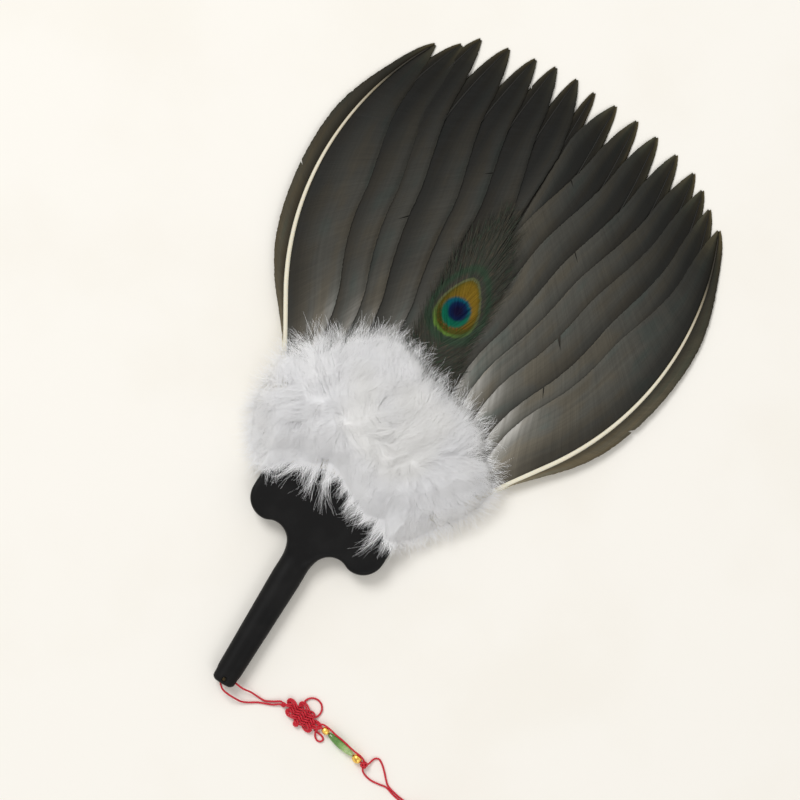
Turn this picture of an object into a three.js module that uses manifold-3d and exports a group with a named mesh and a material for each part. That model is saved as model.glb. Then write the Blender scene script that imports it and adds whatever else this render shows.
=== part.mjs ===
// Rigid feather hand fan: a black handle with a two-lobed head, sixteen flight feathers strung
// and set into the head, a peacock eye feather, white down over the quill roots, and a pendant
// of red cord with a woven knot, three beads and a tassel.
// Millimetres. The fan lies on its back: +X right, +Y from the grip to the feather tips, +Z up.
// The origin is the middle of the flat back of the handle's head.

import * as THREE from "three";
import { mergeVertices } from "three/addons/utils/BufferGeometryUtils.js";
import Module from "manifold-3d";

const wasm = await Module();
wasm.setup();

// Fits
const SEAT_GAP = 0.3; // between pieces that touch

// Handle
const HEAD_THICKNESS = 14;
const HEAD_WIDTH = 91; // across the two lobes
const LOBE_RADIUS = 14;
const LOBE_BOTTOM_Y = -27.5;
const LOBE_DROP = 2.5; // the lobes hang this far below the tops of the neck fillets
const NECK_WIDTH = 19.2;
const NECK_FILLET_RADIUS = 12.5;
const SHOULDER_ROUND = 5; // at the ends of the arched top edge
const HEAD_EDGE_ROUND = 2.2;
const GRIP_LENGTH = 87.5; // from the neck to the butt
const BUTT_WIDTH = 15.2;
const BUTT_DEPTH = 13;
const BUTT_ROUND = 3;

// Slot for the quills, an arch about the point where the lines of the quills meet
const QUILL_CENTRE_Y = -55;
const HEAD_TOP_RADIUS = 73;
const SLOT_DEPTH = 23;

// Flight feathers, measured along each one from the point where the quills meet
const LEFT_FEATHERS = 7;
const RIGHT_FEATHERS = 8;
const SPREAD_ANGLE = 32.8; // of the outermost quill, in degrees from the middle one
const FAN_LEAN = 2; // the feathers stand this far clockwise of the grip, in degrees
const TIP_TURN = 60; // the outermost feather curves back by this, in degrees
const CURVE_START = 175;
const VANE_START = 118;
const MIDDLE_REACH = 351;
const OUTER_REACH = 360;
const INNER_VANE_WIDTH = 31;
const OUTER_VANE_WIDTH = 10;
const VANE_THICKNESS = 0.5;
const LAYER_STEP = 1.4; // from one vane up to the next that overlaps it
const QUILL_END_DIAMETER = 2.6;
const QUILL_DIAMETER = 3.8; // at the mouth of the slot
const RACHIS_DIAMETER = 4.4; // at the start of the vane
const TIP_DIAMETER = 0.8;
const TIP_LIFT = 0.1; // of the feather tips above the surface the fan lies on

// Binding threads through the quills
const THREAD_DIAMETER = 0.8;
const INNER_THREAD_RADIUS = 82;
const OUTER_THREAD_RADIUS = 98;

// Peacock eye feather, along its shaft from the point where the quills meet
const PEACOCK_LEAN = -3; // clockwise of the grip, in degrees
const PEACOCK_SHIFT = 15; // of the line of its shaft to the right
const PEACOCK_BASE = 78;
const PEACOCK_VANE_START = 150;
const PEACOCK_REACH = 268;
const PEACOCK_VANE_WIDTH = 27; // to each side
const PEACOCK_SHAFT_DIAMETER = 1.8;

// Down tufts
const TUFT_WIDTH = 146;
const TUFT_LENGTH = 112;
const TUFT_HEIGHT = 16;
const TUFT_CENTRE_Y = 55;
const BACK_TUFT_REACH = 150; // from the point where the quills meet
const BACK_TUFT_HEIGHT = 3.4;

// Cord pin at the butt
const PIN_DIAMETER = 2.2;
const PIN_INSET = 3.2; // from the end of the butt
const PIN_SLOT_BEHIND = 4; // the slot runs this far past the pin

// Pendant of cord and beads
const CORD_DIAMETER = 1.3;
const CORD_REST = 0.15; // of lying cord above the surface
const KNOT_ENTRY_X = 38.5;
const KNOT_Y = -117;
const ENTRY_BALL_DIAMETER = 3.4;
const KNOT_RUNS = 4; // each way
const KNOT_PITCH_X = 3.3;
const KNOT_PITCH_Y = 2.25;
const KNOT_WAVE = 1.2; // rise and fall of the weave
const KNOT_PAST = 0.6; // a run passes the outermost crossing by this many pitches
const KNOT_SWELL = 0.4; // a turn bulges by this many pitches
const KNOT_EAR = 1.4; // the two long turns on the upper side
const BEAD_LINE_ANGLE = -10.2; // in degrees from +X
const UPPER_BEAD_DIAMETER = 4.5;
const JADE_LENGTH = 19;
const JADE_DIAMETER = 5.4;
const LOWER_BEAD_DIAMETER = 5.7;
const BEAD_SPACING = 0.5; // between neighbouring beads on the cord
const STOP_KNOT_DIAMETER = 4.8;
const CAP_AHEAD = 42; // of the near end of the tassel cap, from the stop knot along +X
const CAP_ASIDE = -7; // along +Y
const CAP_DIAMETER = 6;
const CAP_LENGTH = 7;
const FRINGE_LENGTH = 48;
const FRINGE_DIAMETER = 9.2;
const FRINGE_FLATNESS = 0.6; // height of the lying fringe against its width

// Values that follow from the sizes above
const MID_HEIGHT = HEAD_THICKNESS / 2;
const NECK_Y = LOBE_BOTTOM_Y + LOBE_DROP - NECK_FILLET_RADIUS;
const BUTT_Y = NECK_Y - GRIP_LENGTH;
const PIN_Y = BUTT_Y + PIN_INSET;
const CORD_RADIUS = CORD_DIAMETER / 2;
const LEAN = THREE.MathUtils.degToRad(FAN_LEAN);
const SPREAD = THREE.MathUtils.degToRad(SPREAD_ANGLE);
const TURN = THREE.MathUtils.degToRad(TIP_TURN);
const SLOT_END = HEAD_TOP_RADIUS - SLOT_DEPTH;

// Finishes
const BLACK_LACQUER = finish("#1b1a19", 0.42, 0);
const FEATHER_GREY = finish("#4a4842", 0.62, 0);
const PEACOCK_GREEN = finish("#2f4a2c", 0.45, 0);
const WHITE_DOWN = finish("#eeeeea", 0.95, 0);
const PALE_THREAD = finish("#d8d2c2", 0.9, 0);
const RED_CORD = finish("#a81e2c", 0.7, 0);
const GOLD = finish("#c8993d", 0.28, 1);
const JADE = finish("#6f9a78", 0.3, 0);

function finish(color, roughness, metalness) {
  return new THREE.MeshStandardMaterial({ color, roughness, metalness });
}

// Share of the way from one value to another, eased at both ends
function ease(value, from, to) {
  return THREE.MathUtils.smoothstep(value, from, to);
}

function asSolid(geometry) {
  const plain = geometry.clone();
  plain.deleteAttribute("normal");
  plain.deleteAttribute("uv");
  const joined = mergeVertices(plain, 1e-4);
  return new wasm.Manifold(
    new wasm.Mesh({
      numProp: 3,
      vertProperties: new Float32Array(joined.attributes.position.array),
      triVerts: new Uint32Array(joined.index.array),
    }),
  );
}

function asGeometry(solid) {
  const mesh = solid.getMesh();
  const geometry = new THREE.BufferGeometry();
  geometry.setAttribute("position", new THREE.Float32BufferAttribute(mesh.vertProperties, 3));
  geometry.setIndex(Array.from(mesh.triVerts));
  return geometry;
}

// Closed solid through rings of equally many points, each ring capped from its middle
function loft(rings) {
  const size = rings[0].length;
  const points = rings.flat();
  const faces = [];
  for (let ring = 0; ring + 1 < rings.length; ring += 1) {
    for (let corner = 0; corner < size; corner += 1) {
      const next = (corner + 1) % size;
      const here = ring * size;
      const there = here + size;
      faces.push(here + corner, there + next, here + next);
      faces.push(here + corner, there + corner, there + next);
    }
  }
  const first = rings[0];
  const last = rings[rings.length - 1];
  const start = points.length;
  points.push(middleOf(first), middleOf(last));
  const lastRing = (rings.length - 1) * size;
  for (let corner = 0; corner < size; corner += 1) {
    const next = (corner + 1) % size;
    faces.push(start, corner, next);
    faces.push(start + 1, lastRing + next, lastRing + corner);
  }
  const geometry = new THREE.BufferGeometry().setFromPoints(points);
  geometry.setIndex(faces);
  return geometry;
}

// Points of an outline without those that repeat the one before
function distinct(points) {
  return points.filter((point, index) => index === 0 || point.distanceTo(points[index - 1]) > 1e-3);
}

function middleOf(ring) {
  const sum = new THREE.Vector3();
  ring.forEach((point) => sum.add(point));
  return sum.divideScalar(ring.length);
}

// Round bar along a path
function tube(path, diameter, steps, sides) {
  const corners = [];
  for (let side = 0; side < sides; side += 1) {
    const angle = (2 * Math.PI * side) / sides;
    corners.push(new THREE.Vector2(Math.cos(angle), Math.sin(angle)).multiplyScalar(diameter / 2));
  }
  const section = new THREE.Shape(corners);
  return new THREE.ExtrudeGeometry(section, { steps, bevelEnabled: false, extrudePath: path });
}

function smoothPath(points) {
  return new THREE.CatmullRomCurve3(points.map((point) => new THREE.Vector3(...point)));
}

// Handle

function headShape() {
  const half = HEAD_WIDTH / 2;
  const neck = NECK_WIDTH / 2;
  const filletX = neck + NECK_FILLET_RADIUS;
  const filletTop = LOBE_BOTTOM_Y + LOBE_DROP;
  const lobeX = half - LOBE_RADIUS;
  const lobeY = LOBE_BOTTOM_Y + LOBE_RADIUS;
  const sway = (filletX + lobeX) / 2;
  const archEnd = Math.asin((half - SHOULDER_ROUND) / HEAD_TOP_RADIUS);
  const archX = HEAD_TOP_RADIUS * Math.sin(archEnd);
  const archY = QUILL_CENTRE_Y + HEAD_TOP_RADIUS * Math.cos(archEnd);
  const cornerY = archY - SHOULDER_ROUND * Math.tan(archEnd);
  const right = new THREE.Shape();
  right.moveTo(neck, NECK_Y);
  right.absarc(filletX, NECK_Y, NECK_FILLET_RADIUS, Math.PI, Math.PI / 2, true);
  right.bezierCurveTo(sway, filletTop, sway, LOBE_BOTTOM_Y, lobeX, LOBE_BOTTOM_Y);
  right.absarc(lobeX, lobeY, LOBE_RADIUS, -Math.PI / 2, 0, false);
  right.lineTo(half, cornerY - SHOULDER_ROUND);
  right.quadraticCurveTo(half, cornerY, archX, archY);
  right.absarc(0, QUILL_CENTRE_Y, HEAD_TOP_RADIUS, Math.PI / 2 - archEnd, Math.PI / 2, false);
  const rightPoints = distinct(right.getPoints(6));
  const leftPoints = rightPoints.slice(0, -1).reverse();
  const mirrored = leftPoints.map((point) => new THREE.Vector2(-point.x, point.y));
  return new THREE.Shape([...rightPoints, ...mirrored]);
}

function headSolid() {
  const geometry = new THREE.ExtrudeGeometry(headShape(), {
    depth: HEAD_THICKNESS - 2 * HEAD_EDGE_ROUND,
    bevelThickness: HEAD_EDGE_ROUND,
    bevelSize: HEAD_EDGE_ROUND,
    bevelOffset: -HEAD_EDGE_ROUND,
    bevelSegments: 2,
  });
  geometry.translate(0, 0, HEAD_EDGE_ROUND);
  return asSolid(geometry);
}

// Half width of the grip at a height along it, and the depth that goes with it
function gripHalfWidth(y) {
  return THREE.MathUtils.mapLinear(y, BUTT_Y, NECK_Y, BUTT_WIDTH / 2, NECK_WIDTH / 2);
}

function gripHalfDepth(y) {
  return THREE.MathUtils.mapLinear(y, BUTT_Y, NECK_Y, BUTT_DEPTH / 2, HEAD_THICKNESS / 2);
}

function gripSolid() {
  const profile = [new THREE.Vector2(0, BUTT_Y)];
  const corners = 5;
  for (let corner = 0; corner <= corners; corner += 1) {
    const angle = (Math.PI / 2) * (corner / corners);
    const y = BUTT_Y + BUTT_ROUND * (1 - Math.cos(angle));
    profile.push(new THREE.Vector2(gripHalfWidth(y) - BUTT_ROUND * (1 - Math.sin(angle)), y));
  }
  const top = NECK_Y + NECK_FILLET_RADIUS;
  profile.push(new THREE.Vector2(NECK_WIDTH / 2, NECK_Y));
  profile.push(new THREE.Vector2(NECK_WIDTH / 2, top));
  profile.push(new THREE.Vector2(0, top));
  const geometry = new THREE.LatheGeometry(profile, 28);
  const place = geometry.attributes.position;
  for (let index = 0; index < place.count; index += 1) {
    const y = Math.min(place.getY(index), NECK_Y);
    const flatten = gripHalfDepth(y) / gripHalfWidth(y);
    place.setZ(index, MID_HEIGHT + place.getZ(index) * flatten);
  }
  return asSolid(geometry);
}

// Space for the row of quills, open along the arched top edge
function quillSlot() {
  const margin = (QUILL_DIAMETER / 2 + SEAT_GAP) / HEAD_TOP_RADIUS;
  const middle = Math.PI / 2 - LEAN;
  const from = middle - SPREAD - margin;
  const to = middle + SPREAD + margin;
  const height = QUILL_DIAMETER + 2 * SEAT_GAP;
  const shape = new THREE.Shape();
  shape.absarc(0, QUILL_CENTRE_Y, SLOT_END, from, to, false);
  shape.absarc(0, QUILL_CENTRE_Y, HEAD_TOP_RADIUS + SHOULDER_ROUND, to, from, true);
  const geometry = new THREE.ExtrudeGeometry(shape, {
    depth: height,
    bevelEnabled: false,
    curveSegments: 14,
  });
  geometry.translate(0, 0, MID_HEIGHT - height / 2);
  return asSolid(geometry);
}

// Sawn slot across the butt, and the hole for the pin that holds the cord in it
function cordSlot() {
  const length = PIN_INSET + PIN_SLOT_BEHIND + BUTT_ROUND;
  const height = CORD_DIAMETER + 2 * SEAT_GAP;
  const geometry = new THREE.BoxGeometry(2 * BUTT_WIDTH, length, height);
  geometry.translate(0, BUTT_Y - BUTT_ROUND + length / 2, MID_HEIGHT);
  return asSolid(geometry);
}

function pinHole() {
  const geometry = new THREE.CylinderGeometry(1, 1, 2 * HEAD_THICKNESS, 16);
  const radius = PIN_DIAMETER / 2 + SEAT_GAP;
  geometry.scale(radius, 1, radius);
  geometry.rotateX(Math.PI / 2);
  geometry.translate(0, PIN_Y, MID_HEIGHT);
  return asSolid(geometry);
}

function handle() {
  const body = headSolid().add(gripSolid());
  const slotted = body.subtract(quillSlot()).subtract(cordSlot()).subtract(pinHole());
  return asGeometry(slotted);
}

function cordPin() {
  const length = 2 * gripHalfDepth(PIN_Y) - 4 * SEAT_GAP;
  const geometry = new THREE.CylinderGeometry(PIN_DIAMETER / 2, PIN_DIAMETER / 2, length, 16);
  geometry.rotateX(Math.PI / 2);
  geometry.translate(0, PIN_Y, MID_HEIGHT);
  return geometry;
}

// Flight feathers

// Where a rachis is, and its heading clockwise from +Y, at a distance from the quill centre.
// The side is -1, 0 or 1 and the share runs from 0 in the middle to 1 at the outermost feather.
function rachisAt(side, share, distance) {
  const reach = reachOf(share);
  const heading = LEAN + side * share * SPREAD;
  const bend = (-side * share * TURN) / (reach - CURVE_START);
  const straight = Math.min(distance, CURVE_START);
  const curved = distance - straight;
  const turned = heading + bend * curved;
  let x = straight * Math.sin(heading);
  let y = QUILL_CENTRE_Y + straight * Math.cos(heading);
  if (bend === 0) {
    x += curved * Math.sin(heading);
    y += curved * Math.cos(heading);
  } else {
    x += (Math.cos(heading) - Math.cos(turned)) / bend;
    y += (Math.sin(turned) - Math.sin(heading)) / bend;
  }
  return { x, y, heading: turned };
}

function reachOf(share) {
  return THREE.MathUtils.lerp(MIDDLE_REACH, OUTER_REACH, share);
}

// Height of the middle of the rachis: level in the head, drooping to the tip
function rachisHeight(distance, reach) {
  const along = Math.max(0, (distance - HEAD_TOP_RADIUS) / (reach - HEAD_TOP_RADIUS));
  return THREE.MathUtils.lerp(MID_HEIGHT, TIP_LIFT + TIP_DIAMETER / 2, Math.pow(along, 1.3));
}

function rachisDiameter(distance, reach) {
  if (distance < HEAD_TOP_RADIUS) {
    return THREE.MathUtils.mapLinear(
      distance, SLOT_END, HEAD_TOP_RADIUS, QUILL_END_DIAMETER, QUILL_DIAMETER,
    );
  }
  if (distance < VANE_START) {
    return THREE.MathUtils.mapLinear(
      distance, HEAD_TOP_RADIUS, VANE_START, QUILL_DIAMETER, RACHIS_DIAMETER,
    );
  }
  return THREE.MathUtils.mapLinear(distance, VANE_START, reach, RACHIS_DIAMETER, TIP_DIAMETER);
}

// Widths of the two vanes as shares of their greatest, from the vane's start (0) to the tip (1)
function innerVaneShare(along) {
  return vaneRise(along) * (1 - 0.62 * ease(along, 0.55, 0.95)) * vaneTip(along);
}

function outerVaneShare(along) {
  return ease(along, 0.03, 0.4) * (1 - 0.55 * ease(along, 0.68, 0.93)) * vaneTip(along);
}

function vaneRise(along) {
  const left = 1 - Math.min(along / 0.3, 1);
  return 1 - left * left;
}

function vaneTip(along) {
  return 1 - Math.pow(Math.max(0, (along - 0.87) / 0.13), 1.7);
}

// How far the next rachis towards the middle is from this one
function rachisSpacing(feather, distance) {
  const here = rachisAt(feather.side, feather.share, distance);
  const there = rachisAt(feather.side, feather.share - feather.step, distance);
  return Math.hypot(here.x - there.x, here.y - there.y);
}

// Ring round a feather: both vane edges, the rachis above and the thicker rachis below.
// The vane rises towards the middle of the fan by one layer for each rachis that it passes.
function featherRing(feather, distance) {
  const reach = reachOf(feather.share);
  const point = rachisAt(feather.side, feather.share, distance);
  const along = Math.max(0, (distance - VANE_START) / (reach - VANE_START));
  const diameter = rachisDiameter(distance, reach);
  const radius = diameter / 2;
  const vane = ease(distance, VANE_START - 4, VANE_START + 8);
  const outer = Math.max(radius, OUTER_VANE_WIDTH * outerVaneShare(along));
  let inner = Math.max(radius, INNER_VANE_WIDTH * innerVaneShare(along));
  let slope = 0;
  if (feather.side === 0) {
    inner = outer;
  } else {
    const spacing = rachisSpacing(feather, distance);
    slope = (-feather.side * vane * LAYER_STEP) / spacing;
    inner = Math.min(inner, Math.max(radius, feather.rank * spacing - radius));
  }
  const right = feather.side > 0 ? outer : inner;
  const left = feather.side > 0 ? inner : outer;
  const level = vane * (radius - VANE_THICKNESS);
  const top = THREE.MathUtils.lerp(0.7 * radius, level + VANE_THICKNESS / 2, vane);
  const under = THREE.MathUtils.lerp(-0.55 * radius, level - VANE_THICKNESS / 2, vane);
  const section = [
    [right, level + slope * right],
    [0.75 * radius, top + slope * 0.75 * radius],
    [0, radius],
    [-0.75 * radius, top - slope * 0.75 * radius],
    [-left, level - slope * left],
    [-0.85 * radius, under - slope * 0.85 * radius],
    [-0.4 * radius, -0.93 * radius],
    [0.4 * radius, -0.93 * radius],
    [0.85 * radius, under + slope * 0.85 * radius],
  ];
  return ringAt(point, rachisHeight(distance, reach), section);
}

// Section points, given as offsets to the right and up, set across a heading
function ringAt(point, height, section) {
  const across = new THREE.Vector2(Math.cos(point.heading), -Math.sin(point.heading));
  return section.map(
    ([side, up]) =>
      new THREE.Vector3(point.x + across.x * side, point.y + across.y * side, height + up),
  );
}

function featherStations(reach) {
  const stations = [SLOT_END + 1, HEAD_TOP_RADIUS, VANE_START - 5];
  const steps = 14;
  for (let step = 0; step <= steps; step += 1) {
    const along = (1 - Math.cos((step / steps) * Math.PI)) / 2;
    stations.push(THREE.MathUtils.lerp(VANE_START + 2, reach, along));
  }
  return stations;
}

function featherSolid(feather) {
  const stations = featherStations(reachOf(feather.share));
  return asSolid(loft(stations.map((distance) => featherRing(feather, distance))));
}

function featherList() {
  const feathers = [{ name: "feather_middle", side: 0, rank: 0, share: 0, step: 0 }];
  for (let rank = 1; rank <= LEFT_FEATHERS; rank += 1) {
    const step = 1 / LEFT_FEATHERS;
    feathers.push({ name: `feather_left_${rank}`, side: -1, rank, share: rank * step, step });
  }
  for (let rank = 1; rank <= RIGHT_FEATHERS; rank += 1) {
    const step = 1 / RIGHT_FEATHERS;
    feathers.push({ name: `feather_right_${rank}`, side: 1, rank, share: rank * step, step });
  }
  return feathers;
}

// Thread strung through the quills, along an arch about the quill centre
function bindingThread(radius, diameter) {
  const overhang = 0.05;
  const points = [];
  const steps = 30;
  for (let step = 0; step <= steps; step += 1) {
    const angle = LEAN + (SPREAD + overhang) * ((2 * step) / steps - 1);
    const x = radius * Math.sin(angle);
    const y = QUILL_CENTRE_Y + radius * Math.cos(angle);
    points.push([x, y, rachisHeight(radius, MIDDLE_REACH)]);
  }
  return tube(smoothPath(points), diameter, steps, 6);
}

// Peacock eye feather, laid on the vanes of the middle feathers

function peacockRing(distance) {
  const lean = THREE.MathUtils.degToRad(PEACOCK_LEAN);
  const x = PEACOCK_SHIFT + distance * Math.sin(lean);
  const point = { x, y: QUILL_CENTRE_Y + distance * Math.cos(lean), heading: lean };
  const along = (distance - PEACOCK_VANE_START) / (PEACOCK_REACH - PEACOCK_VANE_START);
  const taper = THREE.MathUtils.mapLinear(distance, PEACOCK_BASE, PEACOCK_REACH, 1, 0.4);
  const radius = (PEACOCK_SHAFT_DIAMETER / 2) * taper;
  const rise = Math.sqrt(Math.max(0, Math.min(1, along / 0.3)));
  const fall = 1 - 0.75 * ease(along, 0.35, 0.9);
  const width = Math.max(radius, PEACOCK_VANE_WIDTH * rise * fall * vaneTip(along));
  const section = [
    [width, 0],
    [0.8 * radius, 0.6 * radius],
    [0, radius],
    [-0.8 * radius, 0.6 * radius],
    [-width, 0],
    [-0.8 * radius, -0.6 * radius],
    [0, -radius],
    [0.8 * radius, -0.6 * radius],
  ];
  return ringAt(point, peacockHeight(distance), section);
}

// The shaft starts on the quills and rides on the highest vane edges near the middle of the fan
function peacockHeight(distance) {
  const radius = PEACOCK_SHAFT_DIAMETER / 2;
  const start = MID_HEIGHT + QUILL_DIAMETER / 2 + SEAT_GAP + radius;
  if (distance >= PEACOCK_VANE_START) {
    return vaneEdgeHeight(distance) + SEAT_GAP + radius;
  }
  const end = vaneEdgeHeight(PEACOCK_VANE_START) + SEAT_GAP + radius;
  return THREE.MathUtils.mapLinear(distance, PEACOCK_BASE, PEACOCK_VANE_START, start, end);
}

function vaneEdgeHeight(distance) {
  const neighbour = { side: 1, share: 1 / RIGHT_FEATHERS, step: 1 / RIGHT_FEATHERS };
  const along = (distance - VANE_START) / (MIDDLE_REACH - VANE_START);
  const width = INNER_VANE_WIDTH * innerVaneShare(along);
  const layers = width / rachisSpacing(neighbour, distance);
  const vaneTop = rachisDiameter(distance, MIDDLE_REACH) / 2 - VANE_THICKNESS / 2;
  return rachisHeight(distance, MIDDLE_REACH) + vaneTop + LAYER_STEP * layers;
}

function peacockFeather() {
  const stations = [PEACOCK_BASE];
  const steps = 16;
  for (let step = 0; step <= steps; step += 1) {
    const along = (1 - Math.cos((step / steps) * Math.PI)) / 2;
    stations.push(THREE.MathUtils.lerp(PEACOCK_VANE_START, PEACOCK_REACH, along));
  }
  return loft(stations.map((distance) => peacockRing(distance)));
}

// Down tufts

// Crowned pad on the front of the head and the vane roots
function frontTuft() {
  const profile = [new THREE.Vector2(0, 0)];
  const steps = 8;
  for (let step = 0; step <= steps; step += 1) {
    const angle = (Math.PI / 2) * (step / steps);
    profile.push(new THREE.Vector2(Math.pow(Math.cos(angle), 0.7), Math.sin(angle)));
  }
  profile[profile.length - 1].x = 0;
  const geometry = new THREE.LatheGeometry(profile, 36);
  geometry.rotateX(Math.PI / 2);
  geometry.scale(TUFT_WIDTH / 2, TUFT_LENGTH / 2, TUFT_HEIGHT);
  geometry.translate(0, TUFT_CENTRE_Y, HEAD_THICKNESS + SEAT_GAP);
  return geometry;
}

// Flattened pad behind the quills, between the head and the vane roots
function backTuft() {
  const round = BACK_TUFT_HEIGHT / 3;
  const middle = Math.PI / 2 - LEAN;
  const shape = new THREE.Shape();
  shape.absarc(0, QUILL_CENTRE_Y, BACK_TUFT_REACH, middle - SPREAD, middle + SPREAD, false);
  const inner = HEAD_TOP_RADIUS + 2 * SEAT_GAP;
  shape.absarc(0, QUILL_CENTRE_Y, inner, middle + SPREAD, middle - SPREAD, true);
  const geometry = new THREE.ExtrudeGeometry(shape, {
    depth: BACK_TUFT_HEIGHT - 2 * round,
    bevelThickness: round,
    bevelSize: round,
    bevelOffset: -round,
    bevelSegments: 2,
    curveSegments: 14,
  });
  geometry.translate(0, 0, SEAT_GAP + round);
  return geometry;
}

// Pendant

// Cord from the knot round the pin and back, level while it is near the butt
function hangingLoop() {
  const low = CORD_RADIUS + CORD_REST;
  const wrap = PIN_DIAMETER / 2 + SEAT_GAP + CORD_RADIUS;
  const away = ENTRY_BALL_DIAMETER / 2 + SEAT_GAP;
  const endX = KNOT_ENTRY_X - away - 0.15;
  const aside = CORD_RADIUS + SEAT_GAP;
  const path = smoothPath([
    [endX, KNOT_Y + aside, ENTRY_BALL_DIAMETER / 2],
    [endX - 4, KNOT_Y + aside - 2.4, low + 0.3],
    [endX - 9, PIN_Y + 0.9, low],
    [24, PIN_Y + 0.8, low + 0.3],
    [18, PIN_Y + 1.1, MID_HEIGHT * 0.45],
    [12.5, PIN_Y + 0.6, MID_HEIGHT * 0.88],
    [8.5, PIN_Y + 1, MID_HEIGHT],
    [2, PIN_Y + wrap, MID_HEIGHT],
    [-0.75 * wrap, PIN_Y + 0.75 * wrap, MID_HEIGHT],
    [-wrap, PIN_Y - 0.35 * wrap, MID_HEIGHT],
    [-0.3 * wrap, PIN_Y - 1.7 * wrap, MID_HEIGHT],
    [2.5, PIN_Y - 6, MID_HEIGHT],
    [6.5, PIN_Y - 6.8, MID_HEIGHT * 0.95],
    [11, PIN_Y - 7, MID_HEIGHT * 0.66],
    [15.6, PIN_Y - 6.8, MID_HEIGHT * 0.3],
    [19.8, PIN_Y - 5, low + 0.3],
    [24, PIN_Y - 2.4, low],
    [endX - 9, PIN_Y - 0.9, low],
    [endX - 3.4, KNOT_Y - aside - 2.4, low + 0.3],
    [endX, KNOT_Y - aside, ENTRY_BALL_DIAMETER / 2],
  ]);
  return tube(path, CORD_DIAMETER, 50, 8);
}

// Stops along one run of the woven knot at half pitches, forwards or back
function knotRun(forward) {
  const last = KNOT_RUNS - 1;
  const stops = [];
  for (let stop = 0; stop <= 2 * last; stop += 1) {
    stops.push(forward ? stop / 2 : last - stop / 2);
  }
  return stops;
}

// Turn from one run to the next: places past the end of the runs, across them, and the wave
function knotTurn(forward, run, wave, swell) {
  const past = forward ? KNOT_RUNS - 1 + KNOT_PAST : -KNOT_PAST;
  const far = forward ? past + swell : past - swell;
  return [
    [past, run + 0.08, wave / 2],
    [far, run + 0.5, 0],
    [past, run + 0.92, -wave / 2],
  ];
}

// Route of the woven knot: runs one way with turns at their ends, then runs the other way.
// Each stop has its place along the two sets of runs and its wave, 1 at the top and -1 below.
function knotRoute() {
  const last = KNOT_RUNS - 1;
  const route = [];
  for (let run = 0; run < KNOT_RUNS; run += 1) {
    const forward = run % 2 === 0;
    for (const stop of knotRun(forward)) {
      route.push([stop, run, Math.cos(Math.PI * (stop + run))]);
    }
    if (run < last) {
      const wave = route[route.length - 1][2];
      const swell = run === 0 ? KNOT_EAR : KNOT_SWELL;
      route.push(...knotTurn(forward, run, wave, swell));
    }
  }
  route.push([-KNOT_PAST, last + 0.1, -0.5]);
  route.push([-KNOT_PAST, last + KNOT_PAST, 0]);
  route.push([-0.1, last + KNOT_PAST, 0.5]);
  for (let run = 0; run < KNOT_RUNS; run += 1) {
    const forward = run % 2 === 1;
    for (const stop of knotRun(forward)) {
      route.push([run, stop, -Math.cos(Math.PI * (stop + run))]);
    }
    if (run < last) {
      const wave = route[route.length - 1][2];
      const swell = run === 2 ? KNOT_EAR : KNOT_SWELL;
      const turn = knotTurn(forward, run, wave, swell);
      route.push(...turn.map(([along, across, height]) => [across, along, height]));
    }
  }
  route.push([last, last + KNOT_PAST, 0]);
  return route;
}

// Path of the knot's cord, whose two sets of runs pass over and under each other in turn
function knotPath() {
  const middle = CORD_RADIUS + CORD_REST + KNOT_WAVE;
  const startX = KNOT_ENTRY_X + ENTRY_BALL_DIAMETER;
  const points = knotRoute().map(([across, along, wave]) => [
    startX + (across + along) * KNOT_PITCH_X,
    KNOT_Y + (across - along) * KNOT_PITCH_Y,
    middle + KNOT_WAVE * wave,
  ]);
  return smoothPath([[KNOT_ENTRY_X, KNOT_Y, ENTRY_BALL_DIAMETER / 2 + CORD_REST], ...points]);
}

// Least gap between two stretches of the cord that are not next to each other along it
function leastGap(path, diameter) {
  const count = 500;
  const points = path.getSpacedPoints(count);
  const apart = Math.ceil((4 * diameter * count) / path.getLength());
  let least = Infinity;
  for (let first = 0; first <= count; first += 1) {
    for (let second = first + apart; second <= count; second += 1) {
      least = Math.min(least, points[first].distanceTo(points[second]));
    }
  }
  return least - diameter;
}

function pendantKnot() {
  const path = knotPath();
  console.log(`least gap of the knot to itself: ${leastGap(path, CORD_DIAMETER).toFixed(2)} mm`);
  const weave = asSolid(tube(path, CORD_DIAMETER, 150, 6));
  const ball = new THREE.SphereGeometry(ENTRY_BALL_DIAMETER / 2, 14, 8);
  ball.translate(KNOT_ENTRY_X, KNOT_Y, ENTRY_BALL_DIAMETER / 2 + CORD_REST);
  return asGeometry(weave.add(asSolid(ball)));
}

// Points along the straight line of the beads, from the knot's end
function beadLine() {
  const reach = 2 * (KNOT_RUNS - 1) + 0.6;
  const startX = KNOT_ENTRY_X + ENTRY_BALL_DIAMETER + reach * KNOT_PITCH_X + 1.4;
  const angle = THREE.MathUtils.degToRad(BEAD_LINE_ANGLE);
  const start = new THREE.Vector3(startX, KNOT_Y + 0.4, LOWER_BEAD_DIAMETER / 2 + CORD_REST);
  const direction = new THREE.Vector3(Math.cos(angle), Math.sin(angle), 0);
  const across = new THREE.Vector3(-direction.y, direction.x, 0);
  const upper = 1 + UPPER_BEAD_DIAMETER / 2;
  const jade = upper + UPPER_BEAD_DIAMETER / 2 + BEAD_SPACING + JADE_LENGTH / 2;
  const lower = jade + JADE_LENGTH / 2 + BEAD_SPACING + LOWER_BEAD_DIAMETER / 2;
  const stop = lower + LOWER_BEAD_DIAMETER / 2 + BEAD_SPACING + STOP_KNOT_DIAMETER / 2;
  return { start, direction, across, angle, upper, jade, lower, stop };
}

function onBeadLine(line, along, aside = 0) {
  return line.start.clone().addScaledVector(line.direction, along).addScaledVector(line.across, aside);
}

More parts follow.
